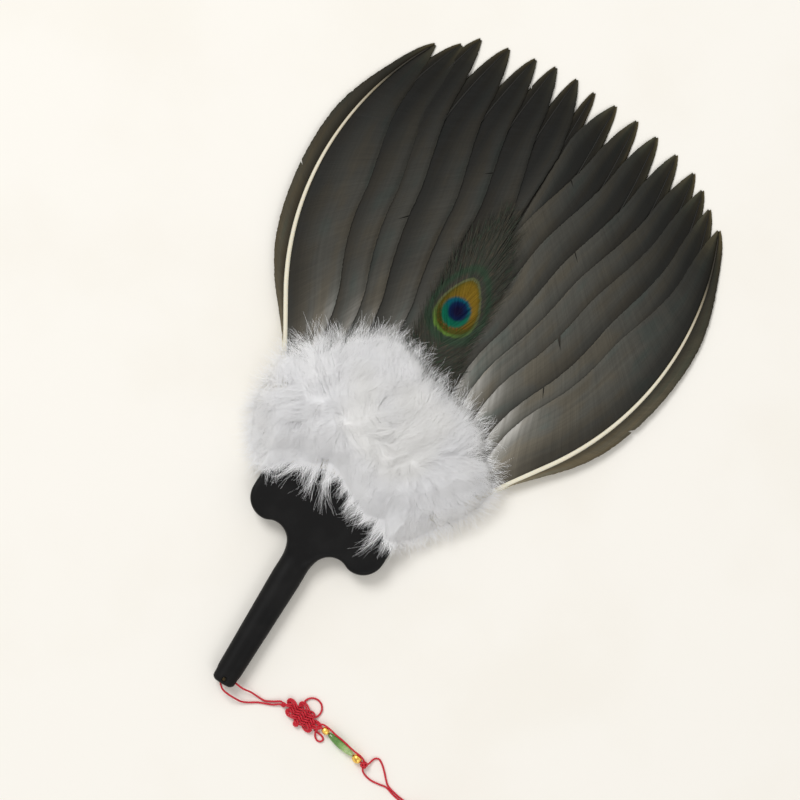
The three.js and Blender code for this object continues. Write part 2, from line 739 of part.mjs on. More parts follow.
// Bead turned about the cord, with a bore that clears it
function bead(length, diameter, along) {
  const bore = CORD_RADIUS + SEAT_GAP;
  const half = length / 2;
  const flat = Math.sqrt(1 - (bore / (diameter / 2)) ** 2);
  const profile = [new THREE.Vector2(bore, -half)];
  const steps = 5;
  const cornerLength = Math.min(half, diameter / 2);
  for (const end of [-1, 1]) {
    for (let step = 0; step <= steps; step += 1) {
      const share = end < 0 ? 1 - step / steps : step / steps;
      const height = share * flat;
      const radius = (diameter / 2) * Math.sqrt(1 - height * height);
      const fromEnd = (height / flat) * cornerLength;
      profile.push(new THREE.Vector2(radius, end * (half - cornerLength + fromEnd)));
    }
  }
  profile.push(new THREE.Vector2(bore, half), new THREE.Vector2(bore, -half));
  const geometry = new THREE.LatheGeometry(distinct(profile), 16);
  const line = beadLine();
  const place = onBeadLine(line, along);
  geometry.rotateZ(line.angle - Math.PI / 2);
  geometry.translate(place.x, place.y, place.z);
  return geometry;
}

function beadCord() {
  const line = beadLine();
  const end = line.stop - STOP_KNOT_DIAMETER / 2 - SEAT_GAP;
  const path = new THREE.LineCurve3(onBeadLine(line, 0), onBeadLine(line, end));
  return tube(path, CORD_DIAMETER, 1, 8);
}

// Second strand, which passes the jade bead on its upper side
function sideCord() {
  const line = beadLine();
  const beside = JADE_DIAMETER / 2 + CORD_RADIUS + SEAT_GAP;
  const points = [
    onBeadLine(line, -0.6, 2.4),
    onBeadLine(line, line.upper, UPPER_BEAD_DIAMETER / 2 + CORD_RADIUS + SEAT_GAP),
    onBeadLine(line, line.jade - JADE_LENGTH / 3, beside + 0.2),
    onBeadLine(line, line.jade, beside),
    onBeadLine(line, line.jade + JADE_LENGTH / 3, beside),
    onBeadLine(line, line.lower - LOWER_BEAD_DIAMETER / 2, beside + 0.1),
    onBeadLine(line, line.lower + 1, LOWER_BEAD_DIAMETER / 2 + CORD_RADIUS + 2 * SEAT_GAP),
  ];
  return tube(new THREE.CatmullRomCurve3(points), CORD_DIAMETER, 14, 8);
}

function stopKnotPlace() {
  const line = beadLine();
  const place = onBeadLine(line, line.stop);
  place.z = STOP_KNOT_DIAMETER / 2 + CORD_REST;
  return place;
}

function stopKnot() {
  const place = stopKnotPlace();
  const geometry = new THREE.SphereGeometry(STOP_KNOT_DIAMETER / 2, 14, 8);
  geometry.translate(place.x, place.y, place.z);
  return geometry;
}

// Tail strands, given from the middle of the stop knot
function tailStrand(points) {
  const knot = stopKnotPlace();
  const path = smoothPath(points.map(([x, y, z]) => [knot.x + x, knot.y + y, z]));
  return tube(path, CORD_DIAMETER, 22, 8);
}

function upperTailStrand() {
  const low = CORD_RADIUS + CORD_REST;
  const leave = STOP_KNOT_DIAMETER / 2 + CORD_RADIUS + SEAT_GAP;
  return tailStrand([
    [0.3 * leave, 0.955 * leave, STOP_KNOT_DIAMETER / 2],
    [1.7, leave + 2.6, low + 0.2],
    [3.8, 7, low],
    [8.4, 4.6, low],
    [13.2, 0.4, low],
    [16.8, -2.5, low],
    [20.4, -4.3, low],
    [30, -5, low],
    [CAP_AHEAD - 3, CAP_ASIDE + 1.2, CAP_DIAMETER / 3],
    [CAP_AHEAD - SEAT_GAP, CAP_ASIDE + 1, CAP_DIAMETER / 2],
  ]);
}

function lowerTailStrand() {
  const low = CORD_RADIUS + CORD_REST;
  const leave = STOP_KNOT_DIAMETER / 2 + CORD_RADIUS + SEAT_GAP;
  return tailStrand([
    [1, -leave, STOP_KNOT_DIAMETER / 2],
    [4.2, -5.2, low + 0.2],
    [8.4, -5.7, low],
    [14, -6.4, low],
    [19, -8.4, low],
    [25, -9.6, low],
    [32, -9.6, low],
    [CAP_AHEAD - 3, CAP_ASIDE - 1.2, CAP_DIAMETER / 3],
    [CAP_AHEAD - SEAT_GAP, CAP_ASIDE - 1, CAP_DIAMETER / 2],
  ]);
}

function alongTassel(profile, flatness) {
  const knot = stopKnotPlace();
  const geometry = new THREE.LatheGeometry(profile, 20);
  geometry.rotateZ(-Math.PI / 2);
  geometry.scale(1, 1, flatness);
  geometry.translate(knot.x + CAP_AHEAD, knot.y + CAP_ASIDE, CAP_DIAMETER / 2 + CORD_REST);
  return geometry;
}

function tasselCap() {
  const radius = CAP_DIAMETER / 2;
  const round = radius / 3;
  const profile = [
    [0, 0], [radius - round, 0], [radius - 0.3 * round, 0.3 * round], [radius, round],
    [radius, CAP_LENGTH - round], [radius - 0.3 * round, CAP_LENGTH - 0.3 * round],
    [radius - round, CAP_LENGTH], [0, CAP_LENGTH],
  ];
  return alongTassel(profile.map(([out, up]) => new THREE.Vector2(out, up)), 1);
}

function tasselFringe() {
  const start = CAP_LENGTH + SEAT_GAP;
  const neck = 0.4 * CAP_DIAMETER;
  const hem = FRINGE_DIAMETER / 2;
  const profile = [
    [0, start], [neck, start], [0.75 * hem, start + 0.2 * FRINGE_LENGTH],
    [0.95 * hem, start + 0.6 * FRINGE_LENGTH], [hem, start + FRINGE_LENGTH],
    [0, start + FRINGE_LENGTH],
  ];
  return alongTassel(profile.map(([out, up]) => new THREE.Vector2(out, up)), FRINGE_FLATNESS);
}

// Assembly

function build() {
  const fan = new THREE.Group();
  fan.name = "feather_fan";
  const add = (name, geometry, material) => {
    const mesh = new THREE.Mesh(geometry, material);
    mesh.name = name;
    fan.add(mesh);
  };
  add("handle", handle(), BLACK_LACQUER);
  add("cord_pin", cordPin(), GOLD);
  const bore = THREAD_DIAMETER + 2 * SEAT_GAP;
  const pierce = asSolid(bindingThread(INNER_THREAD_RADIUS, bore)).add(
    asSolid(bindingThread(OUTER_THREAD_RADIUS, bore)),
  );
  for (const feather of featherList()) {
    add(feather.name, asGeometry(featherSolid(feather).subtract(pierce)), FEATHER_GREY);
  }
  add("inner_binding_thread", bindingThread(INNER_THREAD_RADIUS, THREAD_DIAMETER), PALE_THREAD);
  add("outer_binding_thread", bindingThread(OUTER_THREAD_RADIUS, THREAD_DIAMETER), PALE_THREAD);
  add("peacock_feather", peacockFeather(), PEACOCK_GREEN);
  add("front_down_tuft", frontTuft(), WHITE_DOWN);
  add("back_down_tuft", backTuft(), WHITE_DOWN);
  const line = beadLine();
  add("hanging_loop", hangingLoop(), RED_CORD);
  add("pendant_knot", pendantKnot(), RED_CORD);
  add("upper_bead", bead(UPPER_BEAD_DIAMETER, UPPER_BEAD_DIAMETER, line.upper), GOLD);
  add("jade_bead", bead(JADE_LENGTH, JADE_DIAMETER, line.jade), JADE);
  add("lower_bead", bead(LOWER_BEAD_DIAMETER, LOWER_BEAD_DIAMETER, line.lower), GOLD);
  add("bead_cord", beadCord(), RED_CORD);
  add("side_cord", sideCord(), RED_CORD);
  add("stop_knot", stopKnot(), RED_CORD);
  add("upper_tail_strand", upperTailStrand(), RED_CORD);
  add("lower_tail_strand", lowerTailStrand(), RED_CORD);
  add("tassel_cap", tasselCap(), RED_CORD);
  add("tassel_fringe", tasselFringe(), RED_CORD);
  return fan;
}

export default build();
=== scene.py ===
"""Dresses the rigid feather fan: flight feathers, peacock eye, down, handle and pendant."""

import logging
import math
from dataclasses import dataclass, field
from enum import Enum
from typing import Callable, Iterable, Optional, Sequence, Union

import bmesh
import bpy
import numpy as np
from bmesh.types import BMesh, BMFace
from bpy.types import Material, Mesh, Node, World
from bpy.types import NodeSocket as Socket
from bpy.types import Object as Piece
from mathutils import Matrix, Vector


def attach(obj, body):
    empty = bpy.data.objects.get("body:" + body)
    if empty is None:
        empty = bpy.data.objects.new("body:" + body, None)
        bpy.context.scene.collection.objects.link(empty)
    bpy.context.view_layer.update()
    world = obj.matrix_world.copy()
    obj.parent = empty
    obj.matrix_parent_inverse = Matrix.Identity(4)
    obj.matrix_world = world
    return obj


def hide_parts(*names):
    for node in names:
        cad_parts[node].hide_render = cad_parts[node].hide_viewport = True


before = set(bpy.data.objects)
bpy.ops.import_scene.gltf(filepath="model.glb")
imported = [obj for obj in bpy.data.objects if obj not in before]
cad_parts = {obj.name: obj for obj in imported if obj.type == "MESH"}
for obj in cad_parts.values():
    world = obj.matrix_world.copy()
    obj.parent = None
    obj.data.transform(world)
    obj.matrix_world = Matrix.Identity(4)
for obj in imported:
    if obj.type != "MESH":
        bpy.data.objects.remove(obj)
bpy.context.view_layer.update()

LOG = logging.getLogger("feather_fan")
MM = 0.001  # every size below is in millimetres, and every Blender object in metres
FULL_TURN = 2.0 * math.pi

Colour = tuple[float, float, float]
Place = tuple[float, float, float]
Stops = tuple[tuple[float, Colour], ...]
Points = np.ndarray
Barbs = tuple[Points, Points, Points, Points, Points]  # lines, widths, facings, normals, tones
Random = np.random.Generator


class Body(Enum):
    """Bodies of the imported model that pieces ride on."""

    FAN = "fan"
    LOOP = "cord_loop"
    PENDANT = "pendant"
    UPPER_BEAD = "upper_bead"
    JADE_BEAD = "jade_bead"
    LOWER_BEAD = "lower_bead"
    TAIL = "tail"


class Slot(Enum):
    """Names of material slots."""

    LACQUER = "black_lacquered_wood"
    BRASS = "brass"
    FEATHER = "goose_feather"
    THREAD = "pale_thread"
    PEACOCK = "peacock_feather"
    DOWN = "white_down"
    CORD = "red_cord"
    GOLD = "gold"
    JADE = "jade"


# Shader building


class Value:
    """A number socket that adds Math nodes when an expression uses it."""

    def __init__(self, paint: "Paint", socket: Socket) -> None:
        """Wraps a socket of a tree."""
        self.paint = paint
        self.socket = socket

    def _math(self, operation: str, *terms: "Term") -> "Value":
        """Adds one Math node.

        Args:
            operation: Blender's name of the operation.
            terms: the values or numbers it works on, in order.

        Returns:
            The result as a value.
        """
        node = self.paint.node("ShaderNodeMath", {"operation": operation}, dict(enumerate(terms)))
        return Value(self.paint, node.outputs[0])

    def __add__(self, other: "Term") -> "Value":
        """Sum."""
        return self._math("ADD", self, other)

    def __radd__(self, other: "Term") -> "Value":
        """Sum, number first."""
        return self._math("ADD", other, self)

    def __sub__(self, other: "Term") -> "Value":
        """Difference."""
        return self._math("SUBTRACT", self, other)

    def __rsub__(self, other: "Term") -> "Value":
        """Difference, number first."""
        return self._math("SUBTRACT", other, self)

    def __mul__(self, other: "Term") -> "Value":
        """Product."""
        return self._math("MULTIPLY", self, other)

    def __rmul__(self, other: "Term") -> "Value":
        """Product, number first."""
        return self._math("MULTIPLY", other, self)

    def __truediv__(self, other: "Term") -> "Value":
        """Quotient."""
        return self._math("DIVIDE", self, other)

    def __pow__(self, other: "Term") -> "Value":
        """Power."""
        return self._math("POWER", self, other)

    def size(self) -> "Value":
        """The value without its sign."""
        return self._math("ABSOLUTE", self)

    def most(self, other: "Term") -> "Value":
        """The greater of two values."""
        return self._math("MAXIMUM", self, other)

    def sine(self) -> "Value":
        """Sine of the value in radians."""
        return self._math("SINE", self)

    def eased(self, low: float, high: float) -> "Value":
        """Share of the way from low to high, eased at both ends and held outside them."""
        sockets = {"Value": self, "From Min": low, "From Max": high}
        node = self.paint.node("ShaderNodeMapRange", {"interpolation_type": "SMOOTHSTEP"}, sockets)
        return Value(self.paint, node.outputs[0])


Term = Union[Value, float]
Feed = Union[Value, Socket, float, Sequence[float]]


class Paint:
    """Builds one node tree, of a material or of the world."""

    def __init__(self, owner: Union[Material, World]) -> None:
        """Starts an empty tree.

        Args:
            owner: the material or world.
        """
        owner.use_nodes = True
        self.owner = owner
        self.tree = owner.node_tree
        self.tree.nodes.clear()

    def node(
        self,
        kind: str,
        settings: Optional[dict[str, object]] = None,
        sockets: Optional[dict[Union[str, int], Feed]] = None,
    ) -> Node:
        """Adds a node.

        Args:
            kind: Blender's type name of the node.
            settings: properties, and stops for a colour ramp; they are set first.
            sockets: numbers, colours or links for its inputs, by name or place.

        Returns:
            The node.
        """
        node = self.tree.nodes.new(kind)
        for name, setting in (settings or {}).items():
            if name == "stops":
                self._set_stops(node, setting)
            else:
                setattr(node, name, setting)
        for key, feed in (sockets or {}).items():
            self._feed(node.inputs[key], feed)
        return node

    def _set_stops(self, node: Node, stops: Stops) -> None:
        """Gives a colour ramp its stops, each a place and a colour.

        Args:
            node: the ramp.
            stops: its stops.
        """
        elements = node.color_ramp.elements
        while len(elements) < len(stops):
            elements.new(1.0)
        for element, (place, colour) in zip(elements, stops):
            element.position = place
            element.color = (*colour, 1.0)

    def _feed(self, target: Socket, feed: Feed) -> None:
        """Links or sets one input.

        Args:
            target: the input.
            feed: what it gets.
        """
        if isinstance(feed, Value):
            self.tree.links.new(feed.socket, target)
        elif isinstance(feed, Socket):
            self.tree.links.new(feed, target)
        elif target.type == "RGBA":
            target.default_value = (*feed, 1.0)
        else:
            target.default_value = feed

    def coordinates(self, kind: str) -> Socket:
        """Object or UV coordinates."""
        return self.node("ShaderNodeTexCoord").outputs[kind]

    def split(self, vector: Feed) -> tuple[Value, Value, Value]:
        """The three parts of a vector."""
        node = self.node("ShaderNodeSeparateXYZ", None, {0: vector})
        return tuple(Value(self, output) for output in node.outputs)

    def join(self, x: Term, y: Term, z: Term) -> Socket:
        """A vector of three parts."""
        return self.node("ShaderNodeCombineXYZ", None, {0: x, 1: y, 2: z}).outputs[0]

    def noise(self, vector: Feed, scale: float, detail: float = 2.0, rough: float = 0.5) -> Value:
        """Smooth noise around one half."""
        sockets = {"Vector": vector, "Scale": scale, "Detail": detail, "Roughness": rough}
        return Value(self, self.node("ShaderNodeTexNoise", None, sockets).outputs[0])

    def grain(self, x: Term, y: Term, z: Term, detail: float) -> Value:
        """Smooth noise over places that are stretched first."""
        return self.noise(self.join(x, y, z), 1.0, detail)

    def ramp(self, share: Value, stops: Stops) -> Socket:
        """Colour along a row of stops."""
        return self.node("ShaderNodeValToRGB", {"stops": stops}, {0: share}).outputs[0]

    def mix(self, share: Term, first: Feed, second: Feed) -> Socket:
        """Colour between two, by a share from 0 to 1."""
        settings = {"data_type": "RGBA", "clamp_factor": True}
        return self.node("ShaderNodeMix", settings, {0: share, 6: first, 7: second}).outputs[2]

    def scaled(self, colour: Feed, by: Term) -> Socket:
        """Colour made lighter or darker."""
        sockets = {0: colour, "Scale": by}
        return self.node("ShaderNodeVectorMath", {"operation": "SCALE"}, sockets).outputs[0]

    def tinted(self, colour: Feed, by: Feed) -> Socket:
        """Colour multiplied by another."""
        sockets = {0: colour, 1: by}
        return self.node("ShaderNodeVectorMath", {"operation": "MULTIPLY"}, sockets).outputs[0]

    def bump(self, height: Value, strength: float, distance: float) -> Socket:
        """Normal of a surface with small heights, the distance in metres."""
        sockets = {"Height": height, "Strength": strength, "Distance": distance}
        return self.node("ShaderNodeBump", None, sockets).outputs[0]

    def surface(self, sockets: dict[str, Feed]) -> Material:
        """Ends the tree in a Principled shader.

        Args:
            sockets: its inputs by name.

        Returns:
            The finished material.
        """
        shader = self.node("ShaderNodeBsdfPrincipled", None, sockets)
        self.node("ShaderNodeOutputMaterial", None, {"Surface": shader.outputs[0]})
        return self.owner


# Finishes


@dataclass(frozen=True)
class Finish:
    """A finish with a name; each kind paints itself."""

    name: str

    def material(self) -> Material:
        """The material of this finish, made once."""
        made = bpy.data.materials.get(self.name)
        return made if made else self.paint(Paint(bpy.data.materials.new(self.name)))

    def paint(self, paint: Paint) -> Material:
        """Builds the nodes."""
        raise NotImplementedError


@dataclass(frozen=True)
class LacquerFinish(Finish):
    """Black lacquer over wood: satin, with faint grain, brush marks and dust."""

    colour: Colour = (0.0042, 0.0041, 0.0043)
    worn: Colour = (0.011, 0.0108, 0.0108)

    def paint(self, paint: Paint) -> Material:
        """Builds the nodes.

        Args:
            paint: the tree.

        Returns:
            The finished material.
        """
        place = paint.coordinates("Object")
        x, y, z = paint.split(place)
        grain = paint.grain(x * 900.0, y * 60.0, z * 900.0, 4.0)
        cloud = paint.noise(place, 55.0, 3.0)
        dust = paint.noise(place, 1400.0, 1.0).eased(0.66, 0.74)
        worn = cloud.eased(0.45, 0.75) * 0.55 + dust * 0.5
        return paint.surface({
            "Base Color": paint.mix(worn, self.colour, self.worn),
            "Roughness": 0.36 + cloud * 0.16 + grain * 0.06,
            "Normal": paint.bump(grain + cloud * 0.5, 0.25, 0.0002),
            "Specular IOR Level": 0.10,
            "Coat Weight": 0.03,
            "Coat Roughness": 0.25,
        })


@dataclass(frozen=True)
class VaneFinish(Finish):
    """Dark goose vane: barbs across it, paler to the root, brown outside, and paler to the inner
    edge, partly its own colour and partly painted shade near the rachis.
    """

    tone: float = 1.0
    seed: float = 0.0
    stops: Stops = (
        (0.0, (0.30, 0.288, 0.265)),
        (0.07, (0.150, 0.144, 0.130)),
        (0.16, (0.082, 0.079, 0.069)),
        (0.28, (0.058, 0.056, 0.0485)),
        (0.48, (0.044, 0.0425, 0.0365)),
        (0.68, (0.0265, 0.026, 0.0225)),
        (0.84, (0.0140, 0.0140, 0.0120)),
        (0.91, (0.0150, 0.0145, 0.0108)),
        (0.965, (0.0330, 0.0305, 0.0190)),
        (1.0, (0.058, 0.053, 0.032)),
    )
    fluff: float = 1.0
    # span across the vane, in shares of its width, where the painted shade near the rachis gives
    # way to the paler inner edge
    rise: tuple[float, float] = (0.40, 0.86)
    outside: Colour = (1.30, 1.17, 0.92)
    pale: Colour = (0.50, 0.49, 0.465)

    def paint(self, paint: Paint) -> Material:
        """Builds the nodes.

        Args:
            paint: the tree.

        Returns:
            The finished material.
        """
        along, side, _ = paint.split(paint.coordinates("UV"))
        across = side.size()
        barbs = paint.grain(along * 620.0, across * 1.6, self.seed, 1.0)
        clumps = paint.grain(along * 95.0, across * 1.1, self.seed + 7.0, 3.0)
        patches = paint.grain(along * 11.0, across * 1.4, self.seed + 19.0, 3.0)
        streaks = paint.grain(along * 4.0, across * 22.0, self.seed + 31.0, 3.0)
        sheen = paint.grain(along * 6.0, across * 2.5, self.seed + 43.0, 2.0)
        shade = 0.14 + barbs * 0.40 + clumps * 0.48 + patches * 0.40 + streaks * 0.46
        # paler towards the inner edge and darker near the rachis: partly the vane's own paler inner
        # web, partly painted shade where the overlapping feather's edge shades it; a thin paler
        # line runs along the very edge
        edge = across.eased(*self.rise) * 0.85 + across.eased(0.96, 0.995) * 0.30
        warm = paint.mix(sheen.eased(0.38, 0.54), (1.06, 0.99, 0.88), (0.99, 0.995, 0.98))
        tint = paint.mix(sheen.eased(0.56, 0.72), warm, (0.86, 0.99, 1.00))
        body = paint.ramp(along, self.stops)
        root = along.eased(0.24, 0.03) * 0.42
        dark = paint.scaled(paint.tinted(body, tint), shade * (0.52 + root + edge) * self.tone)
        dark = paint.mix(side.eased(0.0, -0.12), dark, paint.tinted(dark, self.outside))
        fluff = along.eased(0.19, 0.04) * side.eased(0.62, 1.0) * (clumps * 1.3 * self.fluff)
        return paint.surface({
            "Base Color": paint.mix(fluff, dark, self.pale),
            "Roughness": 0.50 + clumps * 0.26,
            "Normal": paint.bump(barbs + clumps * 0.8, 0.5, 0.0003),
            "Specular IOR Level": 0.14,
        })


@dataclass(frozen=True)
class RachisFinish(Finish):
    """Horn shaft of a feather: clear ivory below, brown near the tip."""

    stops: Stops = (
        (0.0, (0.62, 0.55, 0.38)),
        (0.30, (0.82, 0.77, 0.62)),
        (0.66, (0.78, 0.72, 0.58)),
        (0.79, (0.62, 0.56, 0.44)),
        (0.86, (0.27, 0.235, 0.17)),
        (0.905, (0.040, 0.035, 0.026)),
        (1.0, (0.014, 0.012, 0.009)),
    )
    flank: Colour = (0.55, 0.50, 0.28)

    def paint(self, paint: Paint) -> Material:
        """Builds the nodes.

        Args:
            paint: the tree.

        Returns:
            The finished material.
        """
        along, around, _ = paint.split(paint.coordinates("UV"))
        streaks = paint.grain(along * 26.0, around * 34.0, 0.0, 3.0)
        crown = (around * FULL_TURN).sine().eased(0.15, 0.75)
        horn = paint.ramp(along, self.stops)
        colour = paint.mix(crown, paint.tinted(horn, self.flank), horn)
        return paint.surface({
            "Base Color": paint.scaled(colour, 0.82 + streaks * 0.36),
            "Roughness": 0.46 + streaks * 0.24,
            "Normal": paint.bump(streaks, 0.3, 0.0002),
            "Specular IOR Level": 0.2,
            "Subsurface Weight": 0.15,
            "Subsurface Radius": (0.004, 0.003, 0.002),
            "Subsurface Scale": 0.3,
        })


@dataclass(frozen=True)
class PeacockFinish(Finish):
    """Eye of a peacock feather: violet heart, teal ring, copper oval, green rims, dark herl."""

    centre: tuple[float, float] = (4.8, 139.2)
    lean: float = -3.0
    heart: Colour = (0.003, 0.002, 0.020)
    blue: Colour = (0.001, 0.009, 0.044)
    teal: Colour = (0.001, 0.066, 0.098)
    green: Colour = (0.002, 0.098, 0.056)
    gold: Colour = (0.172, 0.108, 0.010)
    copper: Colour = (0.190, 0.052, 0.012)
    olive: Colour = (0.042, 0.048, 0.007)
    rim: Colour = (0.105, 0.115, 0.050)
    leaf: Colour = (0.088, 0.165, 0.026)
    herl: Colour = (0.038, 0.039, 0.031)
    glint: Colour = (0.024, 0.053, 0.030)
    bronze: Colour = (0.064, 0.053, 0.038)

    def paint(self, paint: Paint) -> Material:
        """Builds the nodes.

        Args:
            paint: the tree.

        Returns:
            The finished material.
        """
        turn = math.radians(self.lean)
        shift = Matrix.Rotation(turn, 2) @ Vector(self.centre)
        sockets = {
            "Vector": paint.coordinates("Object"),
            "Location": (-shift.x, -shift.y, 0.0),
            "Rotation": (0.0, 0.0, turn),
            "Scale": (1.0 / MM, 1.0 / MM, 1.0 / MM),
        }
        mapping = paint.node("ShaderNodeMapping", {"vector_type": "POINT"}, sockets)
        x, y, _ = paint.split(mapping.outputs[0])
        tone, along, _ = paint.split(paint.coordinates("UV"))
        frayed = (tone - 0.5) * 0.9
        x = x + frayed * 0.7
        y = y + frayed
        core = self._oval(x, y, 0.2, 5.4, 5.6, 0.0)
        ring = self._oval(x + 0.7, y, -0.9, 8.5, 9.0, 0.0)
        oval = self._oval(x, y, 3.2, 12.4, 18.6, 0.020)
        halo = self._oval(x, y, 5.0, 18.0, 26.0, 0.012)
        wisps = paint.grain(tone * 37.0, along * 6.0, 2.0, 2.0)
        flecks = paint.grain(tone * 61.0, along * 26.0, 8.0, 1.0)
        herl = paint.mix(wisps.eased(0.52, 0.78), self.herl, self.glint)
        herl = paint.mix(wisps.eased(0.50, 0.34) * 0.8, herl, self.bronze)
        colour = paint.mix(halo.eased(1.08, 0.92) * halo.eased(0.70, 0.9) * 0.7, herl, self.glint)
        low = y.eased(3.0, -12.0)
        left = x.eased(1.0, -11.0)
        rim = paint.mix(low, self.rim, self.leaf)
        thin = 0.90 - low * x.eased(0.0, 10.0) * 0.55
        colour = paint.mix(oval.eased(1.07, 1.0) * thin, colour, rim)
        inside = paint.mix(low * 0.85 + left * 0.55, self.gold, self.olive)
        inside = paint.mix(oval.eased(0.74, 0.95) * 0.55, inside, self.olive)
        colour = paint.mix(oval.eased(0.975, 0.89), colour, inside)
        ember = ring.eased(1.55, 1.10) * flecks.eased(0.53, 0.66) * (low * 0.75 + 0.25)
        colour = paint.mix(ember, colour, self.copper)
        sea = paint.mix(y.eased(-3.5, 4.5), self.green, self.teal)
        colour = paint.mix(ring.eased(1.17, 0.92), colour, sea)
        colour = paint.mix(core.eased(1.30, 0.90), colour, self.blue)
        colour = paint.mix(core.eased(0.95, 0.30), colour, self.heart)
        barbules = paint.grain(tone * 91.0, along * 70.0, 5.0, 1.0)
        return paint.surface({
            "Base Color": paint.scaled(colour, 0.55 + barbules * 0.6 + tone * 0.30),
            "Roughness": 0.42 + barbules * 0.24,
            "Normal": paint.bump(barbules, 0.4, 0.0002),
            "Specular IOR Level": 0.06,
        })

    @staticmethod
    def _oval(x: Value, y: Value, up: float, wide: float, tall: float, egg: float) -> Value:
        """Distance from the middle of an oval in shares of its size, narrower at the top.

        Args:
            x: place across, in millimetres from the eye.
            y: place along the feather.
            up: middle of the oval above the eye.
            wide: half width.
            tall: half height.
            egg: share of the width lost for each millimetre up.

        Returns:
            0 in the middle and 1 on the outline.
        """
        rise = y - up
        side = x / (wide * (1.0 - rise * egg))
        lift = rise / tall
        return (side * side + lift * lift) ** 0.5


@dataclass(frozen=True)
class DownFinish(Finish):
    """White down: bright soft barbs, greyer towards their roots as painted shade under the barbs
    above, with faint grey and cream between them.
    """

    bright: Colour = (0.995, 0.995, 1.0)
    grey_and_root_shade: Colour = (0.93, 0.932, 0.945)
    cream: Colour = (0.985, 0.978, 0.950)

    def paint(self, paint: Paint) -> Material:
        """Builds the nodes.

        Args:
            paint: the tree.

        Returns:
            The finished material.
        """
        tone, along, _ = paint.split(paint.coordinates("UV"))
        place = paint.coordinates("Object")
        cloud = paint.noise(place, 38.0, 3.0)
        patch = paint.noise(place, 17.0, 1.0)
        # greyer at random by barb and clump and in soft patches, and greyer towards each barb's
        # root as painted shade where the barbs above cover the roots
        shade = tone * 0.42 + cloud.eased(0.62, 0.36) * 0.40 + (1.0 - along) * 0.34
        colour = paint.mix(shade, self.bright, self.grey_and_root_shade)
        colour = paint.mix(patch.eased(0.56, 0.70) * 0.5, colour, self.cream)
        return paint.surface({
            "Base Color": colour,
            "Roughness": 0.78 + along * 0.12,
            "Specular IOR Level": 0.18,
            "Sheen Weight": 0.25,
            "Sheen Roughness": 0.6,
        })


@dataclass(frozen=True)
class CordFinish(Finish):
    """Red silk cord, with a painted highlight along the crowns of its plies and painted shade in
    the lay between them.
    """

    deep_and_lay_shade: Colour = (0.400, 0.008, 0.018)
    bright: Colour = (0.780, 0.032, 0.058)
    plies: int = 3
    turn: float = 3.2

    def paint(self, paint: Paint) -> Material:
        """Builds the nodes.

        Args:
            paint: the tree.

        Returns:
            The finished material.
        """
        along, around, _ = paint.split(paint.coordinates("UV"))
        twist = around - along / self.turn
        # crown follows each ply: painted highlight on its crown and painted shade in the lay
        # between plies; hairs and fade vary the red at random
        crown = (twist * (FULL_TURN * self.plies)).sine() * 0.5 + 0.5
        hairs = paint.grain(along * 5.0, twist * 26.0, 0.0, 2.0)
        fade = paint.noise(paint.coordinates("Object"), 240.0, 2.0)
        share = crown * 0.6 + hairs * 0.45 + fade * 0.4 - 0.25
        return paint.surface({
            "Base Color": paint.mix(share, self.deep_and_lay_shade, self.bright),
            "Roughness": 0.40 + hairs * 0.25,
            "Normal": paint.bump(crown * 0.5 + hairs, 0.5, 0.0002),
            "Specular IOR Level": 0.3,
            "Sheen Weight": 0.15,
            "Sheen Roughness": 0.35,
            "Sheen Tint": (1.0, 0.45, 0.45),
        })


@dataclass(frozen=True)
class MetalFinish(Finish):
    """Gilt or brass, with fine turning marks and a little tarnish."""

    colour: Colour = (0.90, 0.58, 0.13)
    tarnish: Colour = (0.52, 0.29, 0.06)
    polish: float = 0.20

    def paint(self, paint: Paint) -> Material:
        """Builds the nodes.

        Args:
            paint: the tree.

        Returns:
            The finished material.
        """
        place = paint.coordinates("Object")
        cloud = paint.noise(place, 420.0, 3.0)
        marks = paint.noise(place, 2600.0, 2.0)
        return paint.surface({
            "Base Color": paint.mix(cloud.eased(0.50, 0.74), self.colour, self.tarnish),
            "Metallic": 1.0,
            "Roughness": self.polish + marks * 0.16,
            "Normal": paint.bump(marks, 0.12, 0.0001),
        })


@dataclass(frozen=True)
class JadeFinish(Finish):
    """Cloudy green stone, polished, with paler veins along the bead."""

    stops: Stops = (
        (0.0, (0.045, 0.105, 0.012)),
        (0.38, (0.100, 0.270, 0.042)),
        (0.66, (0.290, 0.460, 0.150)),
        (1.0, (0.560, 0.660, 0.340)),
    )

    def paint(self, paint: Paint) -> Material:
        """Builds the nodes.

        Args:
            paint: the tree.

        Returns:
            The finished material.
        """
        along, around, _ = paint.split(paint.coordinates("UV"))
        wave = (around * FULL_TURN).sine()
        veins = paint.noise(paint.join(along * 0.8, wave * 0.9, 3.0), 1.0, 3.0, 0.55)
        share = along.eased(-2.6, 2.6) * 0.72 + (veins - 0.5) * 0.9 + 0.16
        specks = paint.noise(paint.coordinates("Object"), 1500.0, 2.0)
        return paint.surface({
            "Base Color": paint.ramp(share, self.stops),
            "Roughness": 0.10 + specks * 0.12,
            "Subsurface Weight": 0.35,
            "Subsurface Radius": (0.5, 1.0, 0.3),
            "Subsurface Scale": 0.003,
            "Coat Weight": 0.5,
            "Coat Roughness": 0.06,
        })


@dataclass(frozen=True)
class ThreadFinish(Finish):
    """Pale sewing thread."""

    colour: Colour = (0.70, 0.65, 0.54)

    def paint(self, paint: Paint) -> Material:
        """Builds the nodes.

        Args:
            paint: the tree.

        Returns:
            The finished material.
        """
        lay = paint.noise(paint.coordinates("Object"), 2400.0, 2.0)
        return paint.surface({
            "Base Color": paint.scaled(self.colour, 0.7 + lay * 0.6),
            "Roughness": 0.85,
            "Normal": paint.bump(lay, 0.4, 0.0001),
        })


